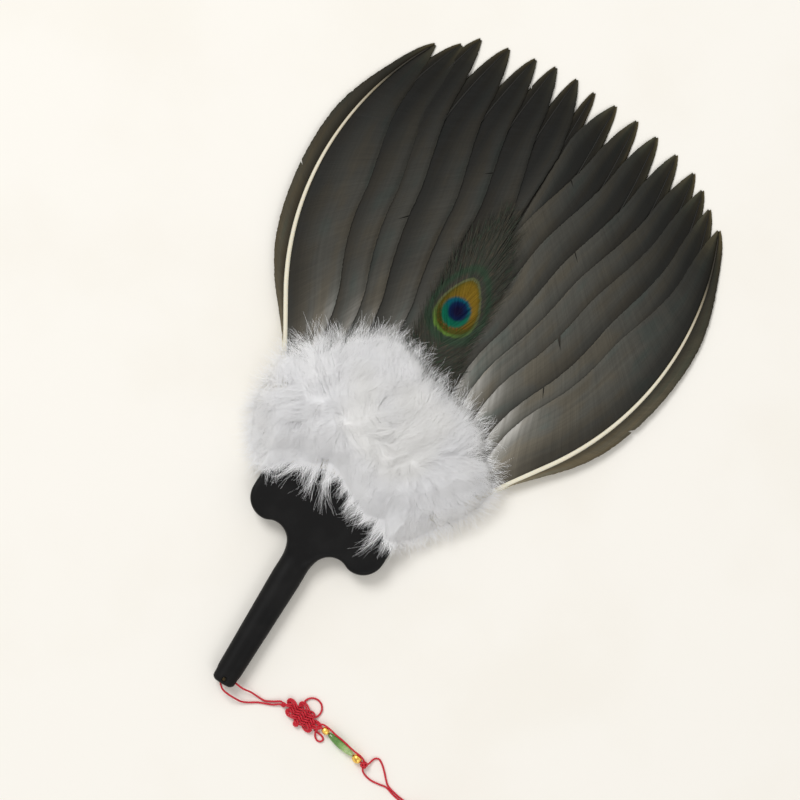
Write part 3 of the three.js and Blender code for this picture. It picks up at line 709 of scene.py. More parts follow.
@dataclass(frozen=True)
class PaperFinish(Finish):
    """Pale paper that the fan lies on."""

    colour: Colour = (0.950, 0.925, 0.870)
    shade: Colour = (0.930, 0.900, 0.835)

    def paint(self, paint: Paint) -> Material:
        """Builds the nodes.

        Args:
            paint: the tree.

        Returns:
            The finished material.
        """
        place = paint.coordinates("Object")
        cloud = paint.noise(place, 9.0, 4.0)
        return paint.surface({
            "Base Color": paint.mix(cloud.eased(0.42, 0.70), self.colour, self.shade),
            "Roughness": 0.9,
            "Specular IOR Level": 0.1,
        })


LACQUER = LacquerFinish("black_lacquer")
RACHIS = RachisFinish("ivory_rachis")
DARK_RACHIS = RachisFinish("dark_rachis", (
    (0.0, (0.62, 0.55, 0.38)),
    (0.28, (0.36, 0.32, 0.23)),
    (0.44, (0.070, 0.062, 0.048)),
    (0.62, (0.018, 0.017, 0.014)),
    (1.0, (0.009, 0.0085, 0.007)),
))
PEACOCK = PeacockFinish("peacock_eye")
DOWN = DownFinish("soft_white_down")
RED_CORD = CordFinish("red_silk_cord")
GILT = MetalFinish("gilt_bead")
BRASS = MetalFinish("blackened_brass", (0.020, 0.017, 0.013), (0.055, 0.040, 0.020), 0.42)
JADE = JadeFinish("green_jade")
THREAD = ThreadFinish("sewing_thread")
PAPER = PaperFinish("pale_paper")


# Mesh helpers


def eased(value: Points, low: float, high: float) -> Points:
    """Share of the way from low to high, eased at both ends and held outside them."""
    share = np.clip((value - low) / (high - low), 0.0, 1.0)
    return share * share * (3.0 - 2.0 * share)


def unit(vectors: Points) -> Points:
    """Vectors of length one along the last axis."""
    return vectors / np.maximum(np.linalg.norm(vectors, axis=-1, keepdims=True), 1e-9)


def mapped_grid(
    mesh: BMesh,
    rows: int,
    columns: int,
    place: Callable[[Points, Points], Points],
    label: Optional[Callable[[Points, Points], Points]] = None,
    merge: float = 0.0,
    material: int = 0,
) -> list[BMFace]:
    """Adds a grid and sets its corners by a function of their two shares.

    Args:
        mesh: the mesh that the grid is added to.
        rows: steps along the first share.
        columns: steps along the second share.
        place: gives places in millimetres for arrays of the two shares.
        label: gives UV pairs for the shares; the shares themselves if left out.
        merge: corners closer than this, in millimetres, are joined, and faces turned outwards.
        material: material slot of the faces.

    Returns:
        The faces of the grid.
    """
    made = bmesh.ops.create_grid(mesh, x_segments=rows, y_segments=columns, size=1.0)
    corners = made["verts"]
    shares = np.array([corner.co for corner in corners])[:, :2] * 0.5 + 0.5
    places = place(shares[:, 0], shares[:, 1]) * MM
    pairs = label(shares[:, 0], shares[:, 1]) if label else shares
    for corner, spot in zip(corners, places):
        corner.co = spot
    found = {corner: pair for corner, pair in zip(corners, pairs)}
    faces = list({face for corner in corners for face in corner.link_faces})
    layer = mesh.loops.layers.uv.verify()
    for face in faces:
        face.smooth = True
        face.material_index = material
        for loop in face.loops:
            loop[layer].uv = found[loop.vert]
    if merge:
        bmesh.ops.remove_doubles(mesh, verts=corners, dist=merge * MM)
        faces = [face for face in faces if face.is_valid]
        bmesh.ops.recalc_face_normals(mesh, faces=faces)
    return faces


def finished_mesh(name: str, mesh: BMesh) -> Mesh:
    """Mesh data from a bmesh, which is freed.

    Args:
        name: name of the data.
        mesh: the bmesh.

    Returns:
        The data.
    """
    data = bpy.data.meshes.new(name)
    mesh.to_mesh(data)
    mesh.free()
    return data


def add_piece(
    name: str,
    data: Mesh,
    finishes: Sequence[Finish],
    body: Body,
    slot: Slot,
    stands_for: Sequence[str] = (),
) -> Piece:
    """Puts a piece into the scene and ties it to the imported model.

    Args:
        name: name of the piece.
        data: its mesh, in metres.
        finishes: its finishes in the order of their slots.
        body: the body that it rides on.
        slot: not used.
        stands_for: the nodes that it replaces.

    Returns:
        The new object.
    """
    piece = bpy.data.objects.new(name, data)
    bpy.context.scene.collection.objects.link(piece)
    for finish in finishes:
        data.materials.append(finish.material())
    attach(piece, body.value)
    if stands_for:
        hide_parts(*stands_for)
    LOG.info("%s: %d faces", name, len(data.polygons))
    return piece


def dress_node(name: str, finish: Finish, slot: Slot, angle: float = 35.0) -> Piece:
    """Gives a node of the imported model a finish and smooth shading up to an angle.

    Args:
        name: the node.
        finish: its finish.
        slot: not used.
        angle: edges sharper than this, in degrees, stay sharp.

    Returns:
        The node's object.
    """
    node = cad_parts[name]
    node.data.materials.clear()
    node.data.materials.append(finish.material())
    node.data.polygons.foreach_set("use_smooth", [True] * len(node.data.polygons))
    weld = node.modifiers.new("weld", "WELD")
    weld.merge_threshold = 1e-6
    split = node.modifiers.new("edges", "EDGE_SPLIT")
    split.split_angle = math.radians(angle)
    LOG.info("%s: dressed", name)
    return node


@dataclass
class StrandBundle:
    """Many fine strands of one kind, each a strip or a slim tube with few faces."""

    steps: int
    sides: int = 1

    def template(self) -> tuple[Points, Points]:
        """Faces of one strand and the place of each corner on it.

        Returns:
            Corner numbers of each face, and each corner's step along and side around.
        """
        strip = bmesh.new()
        bmesh.ops.create_grid(strip, x_segments=self.steps, y_segments=self.sides, size=1.0)
        spots = np.array([corner.co for corner in strip.verts])[:, :2] * 0.5 + 0.5
        faces = np.array([[corner.index for corner in face.verts] for face in strip.faces])
        strip.free()
        return faces, np.rint(spots * (self.steps, self.sides)).astype(int)

    def mesh(self, name: str, lines: Points, widths: Points, facing: Points, tones: Points,
             normals: Optional[Points] = None) -> Mesh:
        """Builds the strands.

        Args:
            name: name of the mesh.
            lines: places along each strand in millimetres, strands by steps + 1 by 3.
            widths: width at each place, strands by steps + 1.
            facing: direction that each strand faces, same shape as lines.
            tones: a number for each strand, kept as the first UV value.
            normals: shading normals at each place, if not the strand's own.

        Returns:
            The mesh, whose second UV value runs along each strand.
        """
        faces, spots = self.template()
        along = unit(np.gradient(lines, axis=1))
        across = unit(np.cross(facing, along))
        half = widths[..., None] * 0.5
        if self.sides == 1:
            rings = np.stack((lines - across * half, lines + across * half), axis=2)
        else:
            up = np.cross(along, across)
            turns = np.arange(self.sides + 1) * (FULL_TURN / self.sides)
            rings = np.stack(
                [lines + (across * math.cos(t) + up * math.sin(t)) * half for t in turns], axis=2
            )
        count = len(lines)
        corners = rings[:, spots[:, 0], spots[:, 1]].reshape(-1, 3) * MM
        numbers = (faces[None] + (np.arange(count) * len(spots))[:, None, None]).reshape(-1, 4)
        data = bpy.data.meshes.new(name)
        data.vertices.add(len(corners))
        data.vertices.foreach_set("co", corners.ravel())
        data.loops.add(numbers.size)
        data.loops.foreach_set("vertex_index", numbers.ravel())
        data.polygons.add(len(numbers))
        data.polygons.foreach_set("loop_start", np.arange(len(numbers)) * 4)
        data.polygons.foreach_set("use_smooth", np.ones(len(numbers), bool))
        data.update(calc_edges=True)
        pairs = np.stack(
            (np.repeat(tones, len(spots)), np.tile(spots[:, 0] / self.steps, count)), axis=1
        )
        layer = data.uv_layers.new(name="UVMap")
        layer.data.foreach_set("uv", pairs[numbers.ravel()].ravel())
        if normals is not None:
            shading = unit(normals)[:, spots[:, 0]].reshape(-1, 3)
            data.normals_split_custom_set_from_vertices(shading)
        data.validate()
        return data


# Flight feathers


@dataclass(frozen=True)
class FeatherSpread:
    """How the flight feathers stand in the head, measured from where their quills meet."""

    quill_centre_y: float = -55.0
    head_top: float = 73.0
    quill_end: float = 51.0
    left: int = 7
    right: int = 8
    spread: float = math.radians(32.8)
    lean: float = math.radians(2.0)
    tip_turn: float = math.radians(60.0)
    curve_start: float = 175.0
    vane_start: float = 118.0
    middle_reach: float = 351.0
    outer_reach: float = 360.0
    mid_height: float = 7.0
    tip_height: float = 0.5
    layer_step: float = 1.4
    diameters: tuple[float, float, float, float] = (2.6, 3.8, 4.4, 0.8)

    def reach(self, share: float) -> float:
        """Distance of the tip of a feather."""
        return self.middle_reach + (self.outer_reach - self.middle_reach) * share

    def rachis(self, side: int, share: float, distance: Points) -> tuple[Points, Points, Points]:
        """Line of a rachis.

        Args:
            side: -1 left, 0 middle, 1 right.
            share: 0 in the middle to 1 at the outermost feather.
            distance: distances from the quill centre.

        Returns:
            Places across, places along, and headings clockwise from straight up.
        """
        heading = self.lean + side * share * self.spread
        bend = -side * share * self.tip_turn / (self.reach(share) - self.curve_start)
        straight = np.minimum(distance, self.curve_start)
        curved = distance - straight
        turned = heading + bend * curved
        x = straight * math.sin(heading)
        y = self.quill_centre_y + straight * math.cos(heading)
        if bend == 0.0:
            return x + curved * math.sin(heading), y + curved * math.cos(heading), turned
        x = x + (math.cos(heading) - np.cos(turned)) / bend
        return x, y + (np.sin(turned) - math.sin(heading)) / bend, turned

    def height(self, distance: Points, reach: float) -> Points:
        """Height of the middle of a rachis, level in the head and drooping to the tip."""
        along = np.maximum(0.0, (distance - self.head_top) / (reach - self.head_top))
        return self.mid_height + (self.tip_height - self.mid_height) * along**1.3

    def diameter(self, distance: Points, reach: float) -> Points:
        """Thickness of the quill and rachis."""
        stations = [self.quill_end, self.head_top, self.vane_start, reach]
        return np.interp(distance, stations, self.diameters)

    def spacing(self, side: int, share: float, step: float, distance: Points) -> Points:
        """How far the next rachis towards the middle is.

        Args:
            side: -1 left, 1 right.
            share: place of the feather in the row.
            step: share from one feather to the next.
            distance: distances from the quill centre.

        Returns:
            The distances between the two.
        """
        here = self.rachis(side, share, distance)
        there = self.rachis(side, share - step, distance)
        return np.hypot(here[0] - there[0], here[1] - there[1])

    def inner_share(self, along: Points) -> Points:
        """Width of the inner vane in shares of its greatest."""
        left = 1.0 - np.minimum(along / 0.3, 1.0)
        return (1.0 - left * left) * (1.0 - 0.62 * eased(along, 0.55, 0.95)) * self.tip(along)

    def outer_share(self, along: Points) -> Points:
        """Width of the outer vane in shares of its greatest."""
        fall = 1.0 - 0.55 * eased(along, 0.68, 0.93)
        return eased(along, 0.03, 0.4) * fall * self.blunt_tip(along)

    @staticmethod
    def tip(along: Points) -> Points:
        """Narrowing of the inner vane towards the tip."""
        return 1.0 - np.clip((along - 0.87) / 0.13, 0.0, 1.0) ** 2.0

    @staticmethod
    def blunt_tip(along: Points) -> Points:
        """Rounding of the outer vane towards the tip."""
        return (1.0 - np.clip((along - 0.87) / 0.13, 0.0, 1.0) ** 2.4) ** 0.7


@dataclass(frozen=True)
class Split:
    """A parting between the barbs of a vane: where on the vane, and how wide at the edge."""

    along: float
    gap: float


@dataclass
class FlightFeather:
    """One goose flight feather: two vanes of barbs on a horn rachis."""

    spread: FeatherSpread
    name: str
    side: int
    rank: int
    share: float
    step: float
    inner_width: float = 31.0
    outer_width: float = 10.0
    row_pitch: float = 0.85
    thickness: float = 0.22
    vane_end: float = 0.992
    rachis_end: float = 0.988
    outer_columns: int = 5
    inner_columns: int = 10
    outer_sweep: float = 0.9
    inner_sweep: float = 0.72
    edge_pitch: float = 0.7
    edge_wear: float = 0.13
    edge_wave: float = 0.15
    parting_ease: float = 3.0
    inner_splits: tuple[Split, ...] = ()
    outer_splits: tuple[Split, ...] = ()
    tone: float = 1.0
    fluff: float = 1.0
    seed: int = 0
    sway: float = 0.0
    sink: float = 0.35
    flat_sink: float = 0.35
    # span over which the vane's painted shade near the rachis gives way to its paler inner edge
    rise: tuple[float, float] = (0.40, 0.86)
    rachis_finish: RachisFinish = DARK_RACHIS
    rng: Random = field(init=False, repr=False)

    def __post_init__(self) -> None:
        """Starts the feather's own random draws."""
        self.rng = np.random.default_rng(1000 + self.seed)

    def rachis(self, distance: Points) -> tuple[Points, Points, Points]:
        """Line of this feather's rachis, which sways a little aside towards the tip.

        Args:
            distance: distances from the quill centre.

        Returns:
            Places across, places along, and headings clockwise from straight up.
        """
        spread = self.spread
        x, y, heading = spread.rachis(self.side, self.share, distance)
        length = spread.reach(self.share) - spread.vane_start
        along = np.maximum(0.0, distance - spread.vane_start) / length
        aside = self.sway * along**2
        heading = heading + 2.0 * self.sway * along / length
        return x + np.cos(heading) * aside, y - np.sin(heading) * aside, heading

    def vane_width(self, outer: bool, station: Points) -> Points:
        """Width of a vane across the rachis at a distance along it.

        Args:
            outer: whether it is the outer vane.
            station: distances from the quill centre.

        Returns:
            The widths.
        """
        spread = self.spread
        reach = spread.reach(self.share)
        along = np.clip((station - spread.vane_start) / (reach - spread.vane_start), 0.0, 1.0)
        radius = spread.diameter(station, reach) / 2.0
        if outer or self.side == 0:
            return np.maximum(0.6 * radius, self.outer_width * spread.outer_share(along))
        spacing = spread.spacing(self.side, self.share, self.step, station)
        cap = np.maximum(radius, self.rank * spacing - radius)
        return np.minimum(np.maximum(radius, self.inner_width * spread.inner_share(along)), cap)

    def vane_point(self, hand: int, root: Points, across: Points, pull: Points,
                   jitter: Points) -> Points:
        """Places on a vane.

        Args:
            hand: -1 for the left vane, 1 for the right.
            root: distance along the rachis where each barb starts.
            across: share of the way from the rachis to the edge.
            pull: how far the barb leans along the rachis at the edge, beside a parting.
            jitter: how much longer or shorter the barb is.

        Returns:
            Places in millimetres.
        """
        spread = self.spread
        reach = spread.reach(self.share)
        outer = self.side == 0 or hand == self.side
        sweep = self.outer_sweep if outer else self.inner_sweep
        edge = root
        for _ in range(14):
            edge = 0.5 * edge + 0.5 * np.minimum(root + sweep * self.vane_width(outer, edge), reach)
        width = self.vane_width(outer, edge)
        station = root + (edge - root) * (0.7 * across + 0.3 * across**2)
        station = station + pull * np.maximum(0.0, (across - 0.8) / 0.2) ** 1.2
        station = np.minimum(station, reach)
        lateral = across * (width + jitter * np.minimum(width / 6.0, 1.0))
        x, y, heading = self.rachis(station)
        radius = spread.diameter(station, reach) / 2.0
        vane = eased(station, spread.vane_start - 4.0, spread.vane_start + 8.0)
        slope = 0.0
        if self.side:
            gap = spread.spacing(self.side, self.share, self.step, station)
            slope = -self.side * vane * spread.layer_step / gap
        broad = np.minimum(width / 15.0, 1.0)
        camber = 0.42 * np.sin(math.pi * across) * broad - 0.22 * across**2 * broad
        wave = 0.06 * np.sin(root / 8.1 + self.seed) + 0.05 * np.sin(root / 2.3 + 2.0 * self.seed)
        sink = self.flat_sink + (self.sink - self.flat_sink) * (1.0 - eased(across, 0.0, 0.4))
        level = vane * (radius - sink)
        z = spread.height(station, reach) + level + slope * hand * lateral + camber + wave * across
        return np.stack((x + np.cos(heading) * hand * lateral,
                         y - np.sin(heading) * hand * lateral,
                         np.maximum(z, 0.25)), axis=-1)

    def add_vane(self, mesh: BMesh, hand: int) -> None:
        """Adds one vane as patches of barbs with partings between them.

        Args:
            mesh: the mesh of the feather.
            hand: -1 for the left vane, 1 for the right.
        """
        spread = self.spread
        reach = spread.reach(self.share)
        length = reach - spread.vane_start
        outer = self.side == 0 or hand == self.side
        splits = self.outer_splits if outer else self.inner_splits
        cuts = [Split(0.0, 0.0), *sorted(splits, key=lambda split: split.along), Split(1.0, 0.0)]
        marks = np.arange(0.0, length + 1.0, self.edge_pitch)
        rough = self.rng.normal(0.0, self.edge_wear, len(marks))
        rough = rough + self.edge_wave * np.sin(marks / 23.0 + self.seed)
        columns = self.outer_columns if outer else self.inner_columns
        vane: list[BMFace] = []
        for start, end in zip(cuts, cuts[1:]):
            first = spread.vane_start + length * start.along
            last = spread.vane_start + length * min(end.along, self.vane_end)
            rows = max(3, round((last - first) / self.row_pitch))

            def place(rows_share: Points, across: Points) -> Points:
                """Places on one patch.

                Args:
                    rows_share: share along the patch.
                    across: share from the rachis to the edge.

                Returns:
                    Places in millimetres.
                """
                root = first + (last - first) * rows_share
                lean = start.gap * np.exp(-(root - first) / self.parting_ease)
                lean = lean - end.gap * np.exp(-(last - root) / self.parting_ease)
                jitter = np.interp(root - spread.vane_start, marks, rough)
                return self.vane_point(hand, root, across, lean, jitter)

            def label(rows_share: Points, across: Points) -> Points:
                """UV pairs: along the vane, and across it with the outer side negative."""
                along = (first + (last - first) * rows_share - spread.vane_start) / length
                return np.stack((along, -across if outer else across), axis=-1)

            vane += mapped_grid(mesh, rows, columns, place, label)
        corners = list({corner for face in vane for corner in face.verts})
        bmesh.ops.remove_doubles(mesh, verts=corners, dist=0.004 * MM)
        vane = [face for face in vane if face.is_valid]
        if hand > 0:
            bmesh.ops.reverse_faces(mesh, faces=vane)
        bmesh.ops.solidify(mesh, geom=vane, thickness=self.thickness * MM)

    def add_rachis(self, mesh: BMesh) -> None:
        """Adds the quill and rachis as one tapering rod with closed ends.

        Args:
            mesh: the mesh of the feather.
        """
        spread = self.spread
        reach = spread.reach(self.share)

        def place(along: Points, around: Points) -> Points:
            """Places on the rod.

            Args:
                along: share along it.
                around: share of a turn about it.

            Returns:
                Places in millimetres.
            """
            distance = spread.quill_end + (self.rachis_end * reach - spread.quill_end) * along
            x, y, heading = self.rachis(distance)
            radius = spread.diameter(distance, reach) / 2.0
            radius = radius * np.where((along < 1e-6) | (along > 1.0 - 1e-6), 0.0, 1.0)
            angle = around * FULL_TURN
            side = 0.95 * radius * np.cos(angle)
            up = radius * np.sin(angle) * np.where(np.sin(angle) > 0.0, 1.0, 0.93)
            z = np.maximum(spread.height(distance, reach) + up, 0.1)
            return np.stack((x + np.cos(heading) * side, y - np.sin(heading) * side, z), axis=-1)

        mapped_grid(mesh, 110, 12, place, merge=0.003, material=1)

    def build(self) -> Piece:
        """Builds the feather and puts it in place of its node.

        Returns:
            The feather.
        """
        mesh = bmesh.new()
        for hand in (-1, 1):
            self.add_vane(mesh, hand)
        self.add_rachis(mesh)
        name = f"goose_vane_{self.seed:02d}"
        vane = VaneFinish(name, self.tone, 3.7 * self.seed, fluff=self.fluff, rise=self.rise)
        finishes = (vane, self.rachis_finish)
        data = finished_mesh(self.name, mesh)
        return add_piece(
            f"goose_{self.name}", data, finishes, Body.FAN, Slot.FEATHER, (self.name,)
        )


@dataclass
class FlightFeathers:
    """The row of sixteen feathers, the outer ones over the inner ones."""

    spread: FeatherSpread
    seed: int = 5
    outermost_right_width: float = 34.0
    outermost_sink: float = 1.0
    # on the two outermost feathers the painted shade near the rachis gives way sooner
    outermost_shade_rise: tuple[float, float] = (0.08, 0.66)
    left_tone: float = 0.67
    right_tone: float = 1.07
    left_sways: tuple[float, ...] = (-3.5, -2.4, 0.1, -1.8, -4.5, 2.2, 2.6)
    right_sways: tuple[float, ...] = (-4.5, -2.4, -0.7, 1.9, 3.8, 1.0, -1.8, -2.0)
    middle_sway: float = -6.0
    inner_partings: tuple[tuple[str, float, float], ...] = (
        ("right_6", 0.354, 1.5), ("right_4", 0.56, 0.5), ("right_7", 0.24, 0.6),
        ("left_3", 0.62, 0.5), ("left_5", 0.41, 0.5), ("right_2", 0.72, 0.4),
    )
    outer_partings: tuple[tuple[str, float, float], ...] = (
        ("right_8", 0.415, 1.1), ("left_7", 0.52, 0.6), ("left_2", 0.90, 0.5),
    )

    @staticmethod
    def partings(places: Iterable[tuple[str, float, float]], name: str) -> tuple[Split, ...]:
        """Partings of one feather, from rows of its place, a share along it and a width."""
        return tuple(Split(along, gap) for place, along, gap in places if name.endswith(place))

    def feathers(self) -> list[FlightFeather]:
        """The feathers from the middle outwards, left side first.

        Returns:
            The feathers.
        """
        rng = np.random.default_rng(self.seed)
        row = [FlightFeather(self.spread, "feather_middle", 0, 0, 0.0, 0.0)]
        for side, label, count in ((-1, "left", self.spread.left), (1, "right", self.spread.right)):
            for rank in range(1, count + 1):
                name = f"feather_{label}_{rank}"
                row.append(FlightFeather(self.spread, name, side, rank, rank / count, 1.0 / count))
        for number, feather in enumerate(row):
            feather.seed = number
            tone = self.right_tone if feather.side > 0 else self.left_tone
            feather.tone = float(rng.uniform(0.92, 1.06)) * tone
            feather.fluff = 0.6 + 1.5 * feather.share**2 if feather.side > 0 else 0.4
            feather.inner_splits = self.partings(self.inner_partings, feather.name)
            feather.outer_splits = self.partings(self.outer_partings, feather.name)
            feather.inner_width *= float(rng.uniform(0.95, 1.08))
        for feather, sway in zip(row, (self.middle_sway, *self.left_sways, *self.right_sways)):
            feather.sway = sway
        row[-1].inner_width = self.outermost_right_width
        for feather in (row[self.spread.left], row[-1]):
            feather.rachis_finish = RACHIS
            feather.sink = self.outermost_sink
            feather.rise = self.outermost_shade_rise
        return row

    def build(self) -> list[Piece]:
        """Builds every feather."""
        return [feather.build() for feather in self.feathers()]


# Peacock eye feather


@dataclass
class PeacockFeather:
    """Peacock eye feather on the middle of the fan: a fine shaft with barbs of loose herl."""

    spread: FeatherSpread
    lean: float = math.radians(-3.0)
    shift: float = 15.0
    base: float = 78.0
    vane_start: float = 150.0
    reach: float = 268.0
    shaft_diameter: float = 1.8
    shaft_end: float = 214.0
    barb_start: float = 124.0
    barbs: int = 420
    barb_angle: float = 60.0
    barb_length: float = 30.0
    eye_length: float = 22.0
    steps: int = 9
    inner_vane_width: float = 31.0
    quill_diameter: float = 3.8
    seat: float = 0.3
    seed: int = 41

    def height(self, distance: Points) -> Points:
        """Height of the shaft: on the quills first, then on the highest vane edges.

        Args:
            distance: distances along the shaft.

        Returns:
            The heights.
        """
        radius = self.shaft_diameter / 2.0
        start = self.spread.mid_height + self.quill_diameter / 2.0 + self.seat + radius
        end = self.edge_height(np.array([self.vane_start]))[0] + self.seat + radius
        ramp = np.interp(distance, [self.base, self.vane_start], [start, end])
        ride = self.edge_height(np.maximum(distance, self.vane_start)) + self.seat + radius
        return np.where(distance < self.vane_start, ramp, ride)

    def edge_height(self, distance: Points) -> Points:
        """Height of the vane edges that meet in the middle of the fan.

        Args:
            distance: distances from the quill centre.

        Returns:
            The heights.
        """
        spread = self.spread
        reach = spread.middle_reach
        along = (distance - spread.vane_start) / (reach - spread.vane_start)
        spacing = spread.spacing(1, 1.0 / spread.right, 1.0 / spread.right, distance)
        layers = self.inner_vane_width * spread.inner_share(along) / spacing
        top = spread.diameter(distance, reach) / 2.0 - 0.25
        return spread.height(distance, reach) + top + spread.layer_step * layers

    def place(self, across: Points, distance: Points, up: Points) -> Points:
        """Places given across and along the shaft, and above it.

        Args:
            across: distances to the right of the shaft.
            distance: distances along it.
            up: heights above it.

        Returns:
            Places in millimetres.
        """
        sin, cos = math.sin(self.lean), math.cos(self.lean)
        x = self.shift + distance * sin + across * cos
        y = self.spread.quill_centre_y + distance * cos - across * sin
        return np.stack((x, y, self.height(distance) + up), axis=-1)

    def add_shaft(self, mesh: BMesh) -> None:
        """Adds the shaft as a tapering rod with closed ends.

        Args:
            mesh: the mesh of the feather.
        """

        def spot(along: Points, around: Points) -> Points:
            """Places on the rod.

            Args:
                along: share along it.
                around: share of a turn about it.

            Returns:
                Places in millimetres.
            """
            distance = self.base + (self.shaft_end - self.base) * along
            radius = self.shaft_diameter / 2.0 * (1.0 - 0.72 * along)
            radius = radius * np.where((along < 1e-6) | (along > 1.0 - 1e-6), 0.0, 1.0)
            angle = around * FULL_TURN
            return self.place(radius * np.cos(angle), distance, radius * np.sin(angle))

        mapped_grid(mesh, 60, 8, spot, merge=0.002)

    def barb_lines(self) -> tuple[Points, Points, Points]:
        """Lines of the barbs.

        Returns:
            Places along each barb, widths there, and a tone for each barb.
        """
        rng = np.random.default_rng(self.seed)
        count = 2 * self.barbs
        side = np.tile((-1.0, 1.0), self.barbs)
        order = np.repeat(np.linspace(0.0, 1.0, self.barbs), 2)
        root = self.barb_start + (self.shaft_end - self.barb_start) * order
        root = root + rng.normal(0.0, 0.25, count)
        eye = eased(order, 0.25, 0.8)
        start = np.radians(self.barb_angle * (1.0 - order**1.5)) * rng.normal(1.0, 0.05, count)
        start = start + rng.normal(0.0, 0.05, count) * eye
        length = (self.barb_length + self.eye_length * eye) * rng.uniform(0.82, 1.12, count)
        curl = rng.normal(0.0, 0.16, count)
        share = np.linspace(0.0, 1.0, self.steps + 1)
        angle = start[:, None] * (1.0 - 0.5 * share) + curl[:, None] * share**3
        move = (length / self.steps)[:, None]
        across = np.cumsum(np.sin(angle) * move, axis=1) - np.sin(angle[:, :1]) * move
        onward = np.cumsum(np.cos(angle) * move, axis=1) - np.cos(angle[:, :1]) * move
        lift = 0.15 + rng.uniform(0.0, 0.5, count)[:, None]
        lift = lift + rng.uniform(0.0, 1.3, count)[:, None] * share**2
        distance = np.minimum(root[:, None] + onward, self.reach)
        lines = self.place(across * side[:, None], distance, lift)
        taper = 1.0 - 0.75 * share**2
        widths = rng.uniform(0.60, 0.95, count)[:, None] * taper
        return lines, widths, rng.uniform(0.0, 1.0, count)

    def build(self) -> Piece:
        """Builds the feather and puts it in place of its node.

        Returns:
            The feather.
        """
        lines, widths, tones = self.barb_lines()
        rng = np.random.default_rng(self.seed + 1)
        facing = np.zeros_like(lines)
        facing[..., 2] = 1.0
        facing[..., :2] = rng.normal(0.0, 0.35, (len(lines), 1, 2))
        strips = StrandBundle(self.steps).mesh("peacock_barbs", lines, widths, facing, tones)
        mesh = bmesh.new()
        mesh.from_mesh(strips)
        bpy.data.meshes.remove(strips)
        self.add_shaft(mesh)
        data = finished_mesh("peacock_plume", mesh)
        return add_piece(
            "peacock_plume", data, (PEACOCK,), Body.FAN, Slot.PEACOCK, ("peacock_feather",)
        )


# Down tufts


